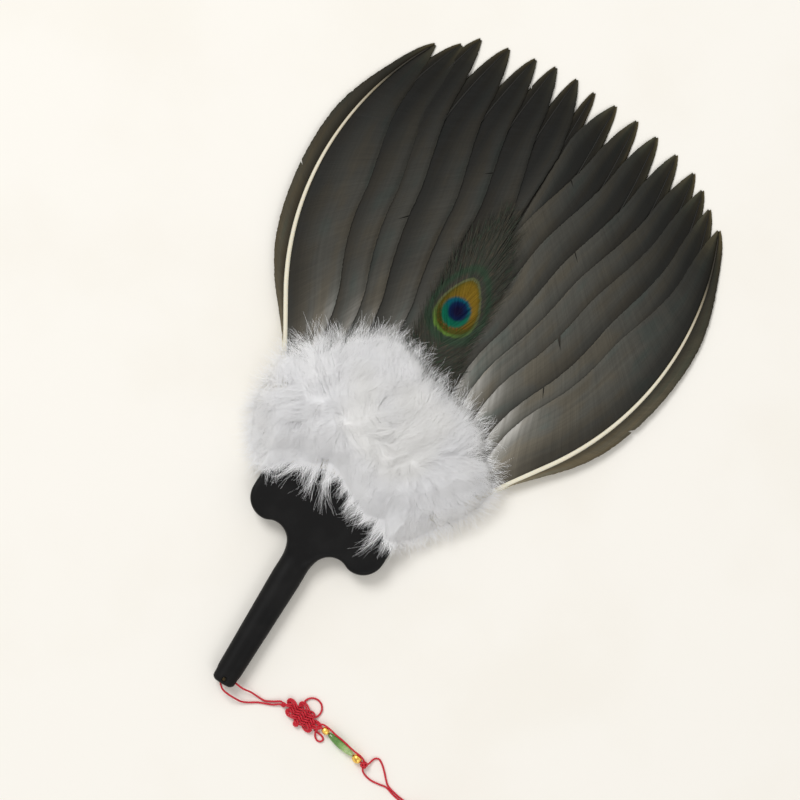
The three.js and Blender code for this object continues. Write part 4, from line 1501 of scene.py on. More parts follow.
@dataclass
class DownTuft:
    """White down over the quill roots: fine curling barbs in soft clumps on a low mound."""

    spread: FeatherSpread
    outline: tuple[tuple[float, float], ...] = (
        (-48.0, -2.0), (-62.0, 10.0), (-71.0, 31.0), (-71.0, 57.0), (-66.0, 75.0), (-60.0, 84.0),
        (-45.0, 90.0), (-36.0, 100.0), (-24.0, 106.0), (-12.0, 107.0), (0.0, 103.0), (12.0, 98.0),
        (24.0, 95.0), (42.0, 92.0), (56.0, 86.0), (62.0, 75.0), (75.0, 66.0), (78.0, 57.0),
        (75.0, 42.0), (65.0, 26.0), (52.0, 8.0), (44.0, 1.0), (39.0, 1.0), (33.0, 10.0),
        (21.5, 7.0), (13.0, 10.0), (3.0, 16.0), (-7.0, 22.0), (-13.0, 23.0), (-20.0, 17.0),
        (-29.0, 15.0), (-38.0, 9.0), (-43.0, 0.0),
    )
    tufts: tuple[tuple[float, float, float, float], ...] = (
        (-28.0, 17.0, -36.0, -6.0), (-32.0, 15.0, -40.0, 2.0), (-24.0, 19.0, -25.0, 1.0),
        (-20.0, 21.0, -17.0, -5.0), (-14.0, 26.0, -8.0, -7.0), (-6.0, 25.0, -5.0, 7.0),
        (3.0, 21.0, 0.0, 5.0), (11.0, 15.0, 6.0, 1.0), (19.0, 15.0, 13.0, -3.0),
        (25.0, 12.0, 22.0, -4.0), (33.0, 13.0, 33.0, -17.0), (30.0, 12.0, 30.0, -8.0),
        (38.0, 7.0, 43.0, -10.0), (43.0, 4.0, 47.0, -6.0),
    )
    middle: tuple[float, float] = (2.0, 48.0)
    span_x: tuple[float, float] = (-85.0, 90.0)
    span_y: tuple[float, float] = (-10.0, 115.0)
    tries: int = 14
    rise: float = 13.0
    shoulder: float = 30.0
    barbs: int = 64000
    clumps: int = 300
    wisps: int = 3600
    tuft_barbs: int = 110
    locks: int = 130
    lock_barbs: int = 45
    body_lengths: tuple[float, float] = (9.0, 18.0)
    rim_lengths: tuple[float, float] = (12.0, 22.0)
    fringe_lengths: tuple[float, float] = (6.0, 15.0)
    under_lengths: tuple[float, float] = (6.0, 13.0)
    rim_depth: float = 9.0
    steps: int = 6
    ceiling: float = 31.0
    mound_share: float = 0.84
    mound_sink: float = 3.6
    pieces: int = 5
    seed: int = 77

    def depth(self, x: Points, y: Points) -> Points:
        """How far inside the outline places are; negative outside it.

        Args:
            x: places across the fan.
            y: places along the fan.

        Returns:
            The depths.
        """
        near = np.full(x.shape, np.inf)
        inside = np.zeros(x.shape, bool)
        ends = (*self.outline[1:], self.outline[0])
        for (ax, ay), (bx, by) in zip(self.outline, ends):
            dx, dy = bx - ax, by - ay
            share = np.clip(((x - ax) * dx + (y - ay) * dy) / (dx * dx + dy * dy), 0.0, 1.0)
            near = np.minimum(near, np.hypot(x - ax - share * dx, y - ay - share * dy))
            if dy:
                inside ^= ((ay > y) != (by > y)) & (x < ax + (y - ay) * dx / dy)
        return np.where(inside, near, -near)

    def ground(self, x: Points, y: Points) -> Points:
        """Height of what the down lies on: the head, the vanes, or little beside them.

        Args:
            x: places across the fan.
            y: places along the fan.

        Returns:
            The heights.
        """
        dy = y - self.spread.quill_centre_y
        radius = np.hypot(x, dy)
        heading = np.abs(np.degrees(np.arctan2(x, dy)) - 2.0)
        vanes = 9.4 + 3.2 * (1.0 - np.clip(heading / 30.0, 0.0, 1.0))
        vanes = vanes - 5.0 * eased(heading, 35.0, 43.0)
        head = 14.2 - 9.0 * eased(np.abs(x), 46.0, 54.0)
        return vanes + (head - vanes) * (1.0 - eased(radius, 70.0, 82.0))

    def surface(self, x: Points, y: Points) -> Points:
        """Height of the top of the tuft, with soft lumps.

        Args:
            x: places across the fan.
            y: places along the fan.

        Returns:
            The heights.
        """
        share = np.clip(self.depth(x, y) / self.shoulder, 0.0, 1.0)
        flat = 1.0 - (1.0 - share) ** 2
        dome = np.sqrt(flat) + (flat - np.sqrt(flat)) * (1.0 - eased(y, 14.0, 40.0))
        lumps = np.sin(x / 5.3 + 0.11 * y) * np.sin(y / 6.1 + 1.0) + 0.6 * np.sin((x - y) / 3.7)
        return self.ground(x, y) + (self.rise + 0.9 * lumps) * dome

    def normals(self, x: Points, y: Points) -> Points:
        """Directions straight out of the top of the tuft.

        Args:
            x: places across the fan.
            y: places along the fan.

        Returns:
            The directions.
        """
        here = self.surface(x, y)
        slope_x = self.surface(x + 1.0, y) - here
        slope_y = self.surface(x, y + 1.0) - here
        return unit(np.stack((-slope_x, -slope_y, np.ones_like(x)), axis=-1))

    def scatter(self, rng: Random, count: int, least: float, most: float = 99.0,
                highest: float = 120.0) -> tuple[Points, Points]:
        """Random places in the tuft.

        Args:
            rng: random draws.
            count: how many places.
            least: least depth inside the outline.
            most: greatest depth.
            highest: greatest place along the fan.

        Returns:
            Places across and along the fan.
        """
        x = rng.uniform(*self.span_x, count * self.tries)
        y = rng.uniform(*self.span_y, count * self.tries)
        depth = self.depth(x, y)
        keep = np.flatnonzero((depth > least) & (depth < most) & (y < highest))[:count]
        return x[keep], y[keep]

    def barb_lines(self, rng: Random, roots: tuple[Points, Points],
                   lengths: tuple[float, float], stray: float,
                   gather: float = 0.42, tip: float = 12.0,
                   sway: float = 0.30) -> Barbs:
        """Lines of curling barbs that lean outwards in clumps.

        Args:
            rng: random draws.
            roots: where they start.
            lengths: least and greatest length.
            stray: how far they usually stray past the outline.
            gather: share that they draw together towards the tip of their clump.
            tip: how far out that tip is.
            sway: how far the clumps turn aside.

        Returns:
            The barbs.
        """
        x, y = roots
        count = len(x)
        clump_x, clump_y = self.scatter(rng, self.clumps, 0.0)
        clump = np.concatenate([
            np.argmin((part_x[:, None] - clump_x) ** 2 + (part_y[:, None] - clump_y) ** 2, axis=1)
            for part_x, part_y in zip(np.array_split(x, 16), np.array_split(y, 16))
        ])
        clump_x_out = clump_x - np.clip(0.9 * clump_x, -30.0, 30.0)
        clump_y_out = clump_y - self.middle[1]
        clump_x_out = np.where(clump_y_out < 0.0, 0.5 * clump_x_out + 4.0, clump_x_out)
        near = np.exp(-np.hypot(clump_x_out, clump_y_out) / 9.0)
        swing = rng.normal(0.0, 1.0, self.clumps) * (sway + 0.8 * near)
        lean = np.arctan2(clump_x_out, clump_y_out) + swing
        curl = rng.normal(0.0, 0.25, self.clumps)[clump] + rng.normal(0.0, 0.30, count)
        loft = np.abs(rng.normal(0.6, 0.8, self.clumps))[clump]
        tone = rng.uniform(0.0, 0.55, self.clumps)[clump] + rng.uniform(0.0, 0.45, count)
        start = lean[clump] + rng.normal(0.0, 0.34, count)
        length = rng.uniform(*lengths, count)
        share = np.linspace(0.0, 1.0, self.steps + 1)
        angle = start[:, None] + curl[:, None] * share**1.5
        move = (length / self.steps)[:, None]
        px = x[:, None] + np.cumsum(np.sin(angle) * move, axis=1) - np.sin(angle[:, :1]) * move
        py = y[:, None] + np.cumsum(np.cos(angle) * move, axis=1) - np.cos(angle[:, :1]) * move
        drawn = gather * share**1.6
        tip_x = clump_x + tip * np.sin(lean)
        tip_y = clump_y + tip * np.cos(lean)
        px = px + drawn * (tip_x[clump][:, None] - px)
        py = py + drawn * (tip_y[clump][:, None] - py)
        past = -self.depth(px[:, -1], py[:, -1])
        keep = past < rng.exponential(stray, count)
        px, py, tone, loft = px[keep], py[keep], tone[keep], loft[keep]
        count = len(px)
        sink = rng.uniform(0.2, 5.0, count)[:, None] * (1.0 - share) ** 1.3
        hump = (loft + np.abs(rng.normal(0.0, 0.6, count)))[:, None]
        hump = hump * 4.0 * share * (1.0 - 0.7 * share)
        top = self.surface(px, py)
        z = top - sink + 0.7 * hump + rng.uniform(-0.3, 0.9, count)[:, None] * share
        z = np.clip(z, self.ground(px, py) + 0.3, self.ceiling)
        lines = np.stack((px, py, z), axis=-1)
        widths = rng.uniform(0.09, 0.17, count)[:, None] * (1.0 - 0.7 * share)
        normals = self.normals(px, py)
        facing = normals + rng.normal(0.0, 0.45, (count, 1, 3))
        return lines, widths, facing, normals + 0.22 * unit(facing), tone

    def wisp_lines(self, rng: Random) -> Barbs:
        """Barbs in separate soft wisps that hang from the lower edge over the head.

        Args:
            rng: random draws.

        Returns:
            The barbs.
        """
        large = np.array(self.tufts)
        lock_roots = np.stack(self.scatter(rng, self.locks, 1.0, 6.0, 27.0), axis=-1)
        locks = len(lock_roots)
        lock_way = rng.normal(0.05, 0.4, locks)
        lock_reach = rng.uniform(5.0, 14.0, locks)[:, None]
        lock_tips = np.stack((np.sin(lock_way), -np.cos(lock_way)), axis=-1) * lock_reach
        roots = np.concatenate((large[:, :2], lock_roots))
        reach = np.concatenate((large[:, 2:] - large[:, :2], lock_tips))
        wisp = np.concatenate((
            np.repeat(np.arange(len(large)), self.tuft_barbs),
            np.repeat(len(large) + np.arange(locks), self.lock_barbs),
        ))
        count = len(wisp)
        aside = rng.normal(0.0, 2.2, (count, 2))
        start = roots[wisp] + aside
        stop = roots[wisp] + reach[wisp] * (0.3 + 0.75 * rng.uniform(0.0, 1.0, (count, 1)) ** 1.7)
        stop = stop + 0.4 * aside + rng.normal(0.0, 0.6, (count, 2))
        along = stop - start
        across = np.stack((-along[:, 1], along[:, 0]), axis=-1)
        bow = rng.normal(0.0, 0.22, len(roots))[wisp] + rng.normal(0.0, 0.16, count)
        curl = rng.normal(0.0, 0.16, len(roots))[wisp] + rng.normal(0.0, 0.12, count)
        share = np.linspace(0.0, 1.0, self.steps + 1)
        bent = bow[:, None] * share * (1.0 - share) + curl[:, None] * share**3
        place = start[:, None] + along[:, None] * share[:, None] + across[:, None] * bent[..., None]
        px, py = place[..., 0], place[..., 1]
        loft = np.abs(rng.normal(0.5, 0.6, len(roots)))[wisp] + np.abs(rng.normal(0.0, 0.4, count))
        sink = rng.uniform(0.2, 3.0, count)[:, None] * (1.0 - share) ** 1.3
        z = self.surface(px, py) - sink + loft[:, None] * 3.0 * share * (1.0 - 0.75 * share)
        z = np.clip(z, self.ground(px, py) + 0.3, self.ceiling)
        widths = rng.uniform(0.10, 0.18, count)[:, None] * (1.0 - 0.7 * share)
        normals = self.normals(px, py)
        facing = normals + rng.normal(0.0, 0.35, (count, 1, 3))
        tones = rng.uniform(0.0, 0.6, count)
        return np.stack((px, py, z), axis=-1), widths, facing, normals + 0.15 * unit(facing), tones

    def under_lines(self, rng: Random) -> Barbs:
        """Barbs under the parts of the tuft that reach past the quills.

        Args:
            rng: random draws.

        Returns:
            The barbs.
        """
        x, y = self.scatter(rng, 4 * self.wisps, 0.5)
        heading = np.arctan2(x, y - self.spread.quill_centre_y) - self.spread.lean
        keep = np.abs(heading) > self.spread.spread - 0.1
        x, y = x[keep], y[keep]
        count = len(x)
        share = np.linspace(0.0, 1.0, self.steps + 1)
        way = np.arctan2(x - self.middle[0], y - self.middle[1]) + rng.normal(0.0, 0.5, count)
        way = way[:, None] + rng.normal(0.0, 0.7, count)[:, None] * share**1.5
        move = (rng.uniform(*self.under_lengths, count) / self.steps)[:, None]
        px = x[:, None] + np.cumsum(np.sin(way) * move, axis=1)
        py = y[:, None] + np.cumsum(np.cos(way) * move, axis=1)
        fall = rng.uniform(0.2, 3.6, count)[:, None] * (0.35 + 0.65 * share)
        z = np.maximum(self.ground(x, y)[:, None] - 0.2 - fall, 0.4)
        lines = np.stack((px, py, z), axis=-1)
        widths = rng.uniform(0.10, 0.19, count)[:, None] * (1.0 - 0.7 * share)
        facing = np.zeros_like(lines)
        facing[..., 2] = -1.0
        facing = facing + rng.normal(0.0, 0.4, (count, 1, 3))
        tones = rng.uniform(0.0, 1.0, count)
        return lines, widths, facing, unit(facing), tones

    def reach(self, angle: Points) -> Points:
        """Distance from the middle to the outline at each angle.

        Args:
            angle: angles from +X.

        Returns:
            The distances.
        """
        out = np.arange(1.0, 110.0, 0.5)
        x = self.middle[0] + np.cos(angle)[:, None] * out
        y = self.middle[1] + np.sin(angle)[:, None] * out
        return np.where(self.depth(x, y) > 0.0, out, 0.0).max(axis=1)

    def add_mound(self) -> Piece:
        """Adds the soft closed mound under the barbs.

        Returns:
            The mound.
        """

        def spot(around: Points, out: Points) -> Points:
            """Places on the mound.

            Args:
                around: share of a turn.
                out: share of the way over the rim and back below it.

            Returns:
                Places in millimetres.
            """
            angle = around * FULL_TURN
            inward = np.where(out < 0.5, out * 2.0, 2.0 - out * 2.0)
            radius = self.mound_share * self.reach(angle) * np.clip(inward, 0.0, 1.0)
            x = self.middle[0] + radius * np.cos(angle)
            y = self.middle[1] + radius * np.sin(angle)
            low = self.ground(x, y)
            top = np.maximum(self.surface(x, y) - self.mound_sink, low + 0.4)
            return np.stack((x, y, np.where(out <= 0.5, top, low - 0.2)), axis=-1)

        def label(around: Points, out: Points) -> Points:
            """The same UV pair everywhere."""
            return np.stack((np.full_like(around, 0.3), np.full_like(out, 0.5)), axis=-1)

        mesh = bmesh.new()
        mapped_grid(mesh, 120, 48, spot, label, merge=0.01)
        data = finished_mesh("down_mound", mesh)
        return add_piece("down_mound", data, (DOWN,), Body.FAN, Slot.DOWN)

    def build(self) -> list[Piece]:
        """Builds the tuft as a few pieces of fine barbs and the mound below them.

        Returns:
            The pieces.
        """
        rng = np.random.default_rng(self.seed)
        body_roots = self.scatter(rng, self.barbs, 1.0)
        body = self.barb_lines(rng, body_roots, self.body_lengths, 2.6)
        rim_roots = self.scatter(rng, self.wisps, 0.0, self.rim_depth)
        rim = self.barb_lines(rng, rim_roots, self.rim_lengths, 6.0)
        fringe_roots = self.scatter(rng, self.wisps // 3, 0.0, self.rim_depth, 34.0)
        fringe = self.barb_lines(
            rng, fringe_roots, self.fringe_lengths, 4.0, gather=0.6, tip=9.0, sway=0.5
        )
        wisps = self.wisp_lines(rng)
        under = self.under_lines(rng)
        groups = [np.concatenate(parts) for parts in zip(body, rim, fringe, wisps, under)]
        pieces = []
        for part in range(self.pieces):
            lines, widths, facing, normals, tones = [group[part :: self.pieces] for group in groups]
            name = f"front_down_{part + 1}"
            data = StrandBundle(self.steps).mesh(name, lines, widths, facing, tones, normals)
            stands_for = ("front_down_tuft",) if part == 0 else ()
            pieces.append(add_piece(name, data, (DOWN,), Body.FAN, Slot.DOWN, stands_for))
        pieces.append(self.add_mound())
        return pieces


@dataclass
class BackDown:
    """Flat white down behind the quills, between the head and the vane roots."""

    spread: FeatherSpread
    inner: float = 69.0
    outer: float = 150.0
    low: float = 0.4
    high: float = 3.5
    barbs: int = 20000
    steps: int = 4
    seed: int = 91

    def build(self) -> Piece:
        """Builds the barbs and puts them in place of the node.

        Returns:
            The tuft.
        """
        rng = np.random.default_rng(self.seed)
        lean = self.spread.lean
        heading = lean + rng.uniform(-1.0, 1.0, self.barbs) * (self.spread.spread - 0.02)
        reach = self.outer - 8.0 - self.inner
        root = self.inner + reach * rng.uniform(0.0, 1.0, self.barbs) ** 0.8
        size = np.minimum(rng.uniform(7.0, 18.0, self.barbs), self.outer + 4.0 - root)
        share = np.linspace(0.0, 1.0, self.steps + 1)
        way = heading[:, None] + rng.normal(0.0, 0.5, self.barbs)[:, None]
        way = way + rng.normal(0.0, 0.6, self.barbs)[:, None] * share**2
        move = (size / self.steps)[:, None]
        x = (root * np.sin(heading))[:, None] + np.cumsum(np.sin(way) * move, axis=1)
        y = (root * np.cos(heading))[:, None] + np.cumsum(np.cos(way) * move, axis=1)
        z = rng.uniform(self.low, self.high, self.barbs)[:, None] + rng.normal(0.0, 0.4, x.shape)
        z = np.clip(z, self.low, self.high)
        lines = np.stack((x, y + self.spread.quill_centre_y, z), axis=-1)
        widths = rng.uniform(0.12, 0.22, self.barbs)[:, None] * (1.0 - 0.7 * share)
        facing = np.zeros_like(lines)
        facing[..., 2] = -1.0
        facing = facing + rng.normal(0.0, 0.3, (self.barbs, 1, 3))
        tones = rng.uniform(0.0, 1.0, self.barbs)
        data = StrandBundle(self.steps).mesh("back_down", lines, widths, facing, tones)
        return add_piece("back_down", data, (DOWN,), Body.FAN, Slot.DOWN, ("back_down_tuft",))


# Handle


@dataclass
class Handle:
    """Black lacquered handle, its edges softened, and the brass pin that holds the cord."""

    voxel: float = 0.6
    rounds: int = 8
    neck: Place = (0.0, -34.0, 7.0)
    neck_reach: float = 19.0
    neck_rounds: int = 70
    neck_taper: float = 0.4

    def skin(self) -> Mesh:
        """Copies the handle's solid as one even skin with a soft neck.

        Returns:
            The skin.
        """
        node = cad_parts["handle"]
        block = bpy.data.objects.new("handle_block", node.data.copy())
        bpy.context.scene.collection.objects.link(block)
        weld = block.modifiers.new("weld", "WELD")
        weld.merge_threshold = 1e-6
        remesh = block.modifiers.new("skin", "REMESH")
        remesh.mode = "VOXEL"
        remesh.voxel_size = self.voxel * MM
        graph = bpy.context.evaluated_depsgraph_get()
        mesh = bmesh.new()
        mesh.from_mesh(block.evaluated_get(graph).to_mesh())
        bpy.data.objects.remove(block)
        middle = Vector(self.neck) * MM
        shares = [number / self.neck_rounds for number in range(self.neck_rounds)]
        reaches = [self.neck_reach * (1.0 - self.neck_taper * share) for share in shares]
        for reach in (*[math.inf] * self.rounds, *reaches):
            near = [v for v in mesh.verts if (v.co - middle).length < reach * MM]
            bmesh.ops.smooth_vert(
                mesh, verts=near, factor=0.5, use_axis_x=True, use_axis_y=True, use_axis_z=True
            )
        data = finished_mesh("lacquered_handle", mesh)
        data.shade_smooth()
        return data

    def build(self) -> list[Piece]:
        """Builds the handle and dresses the pin and the binding threads.

        Returns:
            The pieces.
        """
        name = "lacquered_handle"
        return [
            add_piece(name, self.skin(), (LACQUER,), Body.FAN, Slot.LACQUER, ("handle",)),
            dress_node("cord_pin", BRASS, Slot.BRASS),
            dress_node("inner_binding_thread", THREAD, Slot.THREAD, 60.0),
            dress_node("outer_binding_thread", THREAD, Slot.THREAD, 60.0),
        ]


# Pendant


def smooth_line(points: Sequence[Sequence[float]], pitch: float) -> Points:
    """Smooth line through points, centripetal, sampled at an even pitch.

    Args:
        points: the points in order, in millimetres.
        pitch: distance between samples.

    Returns:
        The samples.
    """
    spots = np.array(points, float)
    spots = np.vstack((2.0 * spots[0] - spots[1], spots, 2.0 * spots[-1] - spots[-2]))
    pieces = []
    for number in range(len(spots) - 3):
        quad = spots[number : number + 4]
        gaps = np.linalg.norm(np.diff(quad, axis=0), axis=1) ** 0.5
        knots = np.concatenate(([0.0], np.cumsum(np.maximum(gaps, 1e-4))))
        steps = np.linspace(knots[1], knots[2], 24, endpoint=False)[:, None]
        first = [between(knots[i], knots[i + 1], steps, quad[i], quad[i + 1]) for i in range(3)]
        second = [between(knots[i], knots[i + 2], steps, first[i], first[i + 1]) for i in range(2)]
        pieces.append(between(knots[1], knots[2], steps, *second))
    dense = np.vstack((*pieces, spots[-2]))
    return even_line(dense, pitch)


def between(low: float, high: float, steps: Points, first: Points, second: Points) -> Points:
    """Straight blend from one line to another over a span."""
    return ((high - steps) * first + (steps - low) * second) / (high - low)


def even_line(dense: Points, pitch: float) -> Points:
    """A line sampled again at an even pitch.

    Args:
        dense: the line.
        pitch: distance between samples.

    Returns:
        The samples.
    """
    travel = np.concatenate(([0.0], np.cumsum(np.linalg.norm(np.diff(dense, axis=0), axis=1))))
    count = max(4, int(round(travel[-1] / pitch)))
    marks = np.linspace(0.0, travel[-1], count + 1)
    return np.stack([np.interp(marks, travel, dense[:, axis]) for axis in range(3)], axis=-1)


def line_length(line: Points) -> float:
    """Length of a line in millimetres."""
    return float(np.linalg.norm(np.diff(line, axis=0), axis=1).sum())


@dataclass
class SilkCord:
    """Twisted red cord along a line: three plies laid round each other."""

    diameter: float = 1.3
    sides: int = 12
    pitch: float = 0.4
    groove: float = 0.14
    gather: float = 4.0
    ease_rounds: int = 5
    finish: CordFinish = RED_CORD

    def frames(self, line: Points, closed: bool) -> tuple[Points, Points]:
        """Two directions across a line that turn with it and not about it.

        Args:
            line: the samples of the line.
            closed: whether the line ends where it starts.

        Returns:
            The two directions at each sample.
        """
        along = unit(np.gradient(line, axis=0))
        if closed:
            along[0] = along[-1] = unit(line[1] - line[-2])
        first = np.cross(along[0], (0.0, 0.0, 1.0))
        if np.linalg.norm(first) < 0.1:
            first = np.cross(along[0], (1.0, 0.0, 0.0))
        sides = [unit(first)]
        for direction in along[1:]:
            side = sides[-1] - direction * np.dot(sides[-1], direction)
            sides.append(unit(side))
        across = np.array(sides)
        if closed:
            up = np.cross(along[0], across[0])
            slip = math.atan2(np.dot(across[-1], up), np.dot(across[-1], across[0]))
            back = -slip * np.linspace(0.0, 1.0, len(line))[:, None]
            other = np.cross(along, across)
            across = across * np.cos(back) + other * np.sin(back)
        return across, np.cross(along, across)

    def mesh(self, name: str, line: Points, closed: bool = False) -> Mesh:
        """Builds the cord along a line.

        Args:
            name: name of the mesh.
            line: even samples of the line in millimetres.
            closed: whether the line ends where it starts.

        Returns:
            The mesh; its first UV value is the distance along in millimetres.
        """
        across, up = self.frames(line, closed)
        count = len(line) - 1
        length = line_length(line)
        radius = self.diameter / 2.0
        turns = length / self.finish.turn
        if closed:
            turns = round(turns)

        def place(along: Points, around: Points) -> Points:
            """Places on the cord.

            Args:
                along: share along it.
                around: share of a turn about it.

            Returns:
                Places in millimetres.
            """
            row = np.rint(along * count).astype(int)
            angle = around * FULL_TURN
            lay = self.finish.plies * (angle - turns * FULL_TURN * along)
            size = radius * (1.0 - self.groove + self.groove * np.sin(lay))
            if not closed:
                size = size * np.where((row == 0) | (row == count), 0.0, 1.0)
            ring = across[row] * np.cos(angle)[:, None] + up[row] * np.sin(angle)[:, None]
            return line[row] + ring * size[:, None]

        def label(along: Points, around: Points) -> Points:
            """UV pairs: distance along, and share of a turn."""
            return np.stack((along * turns * self.finish.turn, around), axis=-1)

        mesh = bmesh.new()
        mapped_grid(mesh, count, self.sides, place, label, merge=0.002)
        return finished_mesh(name, mesh)

    def free_cord(
        self,
        name: str,
        points: Sequence[Sequence[float]],
        body: Body,
        stands_for: Sequence[str],
        far_end: str,
        with_pieces: Sequence[Piece] = (),
        lay: str = "loose",
        aside: float = 0.0,
    ) -> Piece:
        """Args:
            name: name of the piece.
            points: the points that it runs through, in millimetres.
            body: the body that it rides on.
            stands_for: the nodes that it replaces.
            far_end: not used.
            with_pieces: not used.
            lay: not used.
            aside: how far it runs to the left of the points.

        Returns:
            The cord.
        """
        line = smooth_line(points, self.pitch)
        if aside:
            line = self.beside(line, aside)
        data = self.mesh(name, line)
        cord = add_piece(name, data, (self.finish,), body, Slot.CORD, stands_for)
        line_length(line) * MM
        return cord

    def beside(self, line: Points, aside: float) -> Points:
        """Line beside a line, nearer to it inside its tight turns and at its two ends.

        Args:
            line: even samples of the line.
            aside: how far to the left.

        Returns:
            Even samples of the line beside it.
        """
        way = unit(np.gradient(line, axis=0) * (1.0, 1.0, 0.0))
        left = np.cross((0.0, 0.0, 1.0), way)
        bend = np.sum(np.gradient(way, axis=0) * left, axis=1) / self.pitch
        reach = np.arange(len(line)) * self.pitch
        ends = eased(np.minimum(reach, reach[-1] - reach), 0.0, self.gather)
        share = ends / (1.0 + 2.0 * np.maximum(0.0, bend * aside))
        window = np.ones(7) / 7.0
        share = np.convolve(np.pad(share, 3, mode="edge"), window, mode="valid")
        moved = line + left * (aside * share)[:, None]
        for _ in range(self.ease_rounds):
            moved[1:-1] = 0.5 * moved[1:-1] + 0.25 * (moved[:-2] + moved[2:])
        return even_line(moved, self.pitch)

    def tied_knot(self, name: str, centre: Points, size: float, angle: float, body: Body,
                  stands_for: Sequence[str] = ()) -> Piece:
        """Builds a small tied knot of cord.

        Args:
            name: name of the piece.
            centre: its middle, in millimetres.
            size: its outer diameter.
            angle: heading of the cord through it, in radians from +X.
            body: the body that it rides on.
            stands_for: the nodes that it replaces.

        Returns:
            The knot.
        """
        wraps, waves = 3.0, 4.0
        turn = np.linspace(0.0, FULL_TURN, 400)
        tilt = 0.95 * np.sin(waves * turn)
        radius = (size - self.diameter) / 2.0 + 0.12 * np.sin(2.0 * waves * turn)
        ring = np.stack((np.sin(tilt), np.cos(tilt) * np.cos(wraps * turn),
                         np.cos(tilt) * np.sin(wraps * turn)), axis=-1) * radius[:, None]
        spin = np.array(Matrix.Rotation(angle, 3, "Z"))
        line = even_line(ring @ spin.T + centre, 0.3)
        line[-1] = line[0]
        data = self.mesh(name, line, closed=True)
        return add_piece(name, data, (self.finish,), body, Slot.CORD, stands_for)


@dataclass
class WovenKnot:
    """Route of one strand of the woven knot: runs one way with turns, then runs across them."""

    entry_x: float = 38.5
    knot_y: float = -117.0
    entry_size: float = 3.4
    runs: int = 4
    pitch_x: float = 3.3
    pitch_y: float = 1.7
    lean: float = math.radians(-10.0)
    pivot: tuple[float, float] = (52.0, -116.6)
    wave: float = 1.25
    past: float = 0.6
    swell: float = 0.45
    ring: float = 0.0
    ring_place: tuple[float, float] = (54.2, -109.8)
    ring_angles: tuple[float, ...] = (196.0, 168.0, 140.0, 112.0, 84.0, 56.0, 28.0, 0.0, -26.0)
    ends: tuple[Place, ...] = ()
    cord_radius: float = 0.65
    rest: float = 0.15

    def run(self, forward: bool) -> list[float]:
        """Stops along one run at half pitches.

        Args:
            forward: whether it starts at the first stop.

        Returns:
            The stops.
        """
        last = self.runs - 1
        stops = [stop / 2.0 for stop in range(2 * last + 1)]
        return stops if forward else stops[::-1]

    def turn(self, forward: bool, run: int, wave: float) -> list[tuple[float, ...]]:
        """Turn from one run to the next.

        Args:
            forward: whether it follows a forward run.
            run: number of that run.
            wave: where that run ends in the weave, from -1 below to 1 above.

        Returns:
            Places across, along and up in the weave.
        """
        past = self.runs - 1 + self.past if forward else -self.past
        swell = self.swell if forward else -self.swell
        bow = ((0.0, 0.0), (0.7, 0.12), (1.0, 0.5), (0.7, 0.88), (0.0, 1.0))
        return [(past + swell * out, run + over, wave * (0.5 - over)) for out, over in bow]

    def place(self, across: float, along: float, wave: float) -> Place:
        """A place in the weave, in millimetres.

        Args:
            across: runs across.
            along: runs along.
            wave: -1 below to 1 above.

        Returns:
            The place.
        """
        x = self.entry_x + self.entry_size + (across + along) * self.pitch_x - self.pivot[0]
        y = self.knot_y + (across - along) * self.pitch_y - self.pivot[1]
        return (
            self.pivot[0] + x * math.cos(self.lean) - y * math.sin(self.lean),
            self.pivot[1] + x * math.sin(self.lean) + y * math.cos(self.lean),
            self.cord_radius + self.rest + self.wave * (1.0 + wave),
        )

    def first_runs(self) -> list[Place]:
        """Places along the first set of runs, with the loose ring in place of a turn.

        Returns:
            The places.
        """
        spots = []
        for run in range(self.runs):
            forward = run % 2 == 0
            stops = [(s, run, math.cos(math.pi * (s + run))) for s in self.run(forward)]
            turn = self.turn(forward, run, stops[-1][2]) if run < self.runs - 1 else []
            if run == 0 and self.ring:
                spots += [self.place(*stop) for stop in stops[:4]]
                for angle in np.radians(self.ring_angles):
                    x = self.ring_place[0] + self.ring * math.cos(angle)
                    y = self.ring_place[1] + self.ring * math.sin(angle)
                    spots.append((x, y, self.cord_radius + self.rest))
                spots.append(self.place(*turn[-1]))
            else:
                spots += [self.place(*stop) for stop in (*stops, *turn)]
        return spots

    def second_runs(self) -> list[Place]:
        """Places along the runs that cross the first set, from its last corner.

        Returns:
            The places.
        """
        last = self.runs - 1
        corner = ((-0.45, last + 0.1, -0.5), (-0.55, last + 0.55, 0.0), (-0.1, last + 0.45, 0.5))
        spots = [self.place(*stop) for stop in corner]
        for run in range(self.runs):
            forward = run % 2 == 1
            stops = [(s, run, -math.cos(math.pi * (s + run))) for s in self.run(forward)]
            turn = self.turn(forward, run, stops[-1][2]) if run < last else []
            spots += [self.place(across, along, wave) for along, across, wave in (*stops, *turn)]
        return spots

    def points(self) -> list[Place]:
        """Points of the strand in millimetres, from the entry to its end.

        Returns:
            The points.
        """
        entry = (self.entry_x, self.knot_y, self.entry_size / 2.0 + self.rest)
        spots = [entry, *self.first_runs(), *self.second_runs()]
        if self.ends:
            spots.append(self.place(self.runs - 1, self.runs - 0.55, -0.95))
        return [*spots, *self.ends]


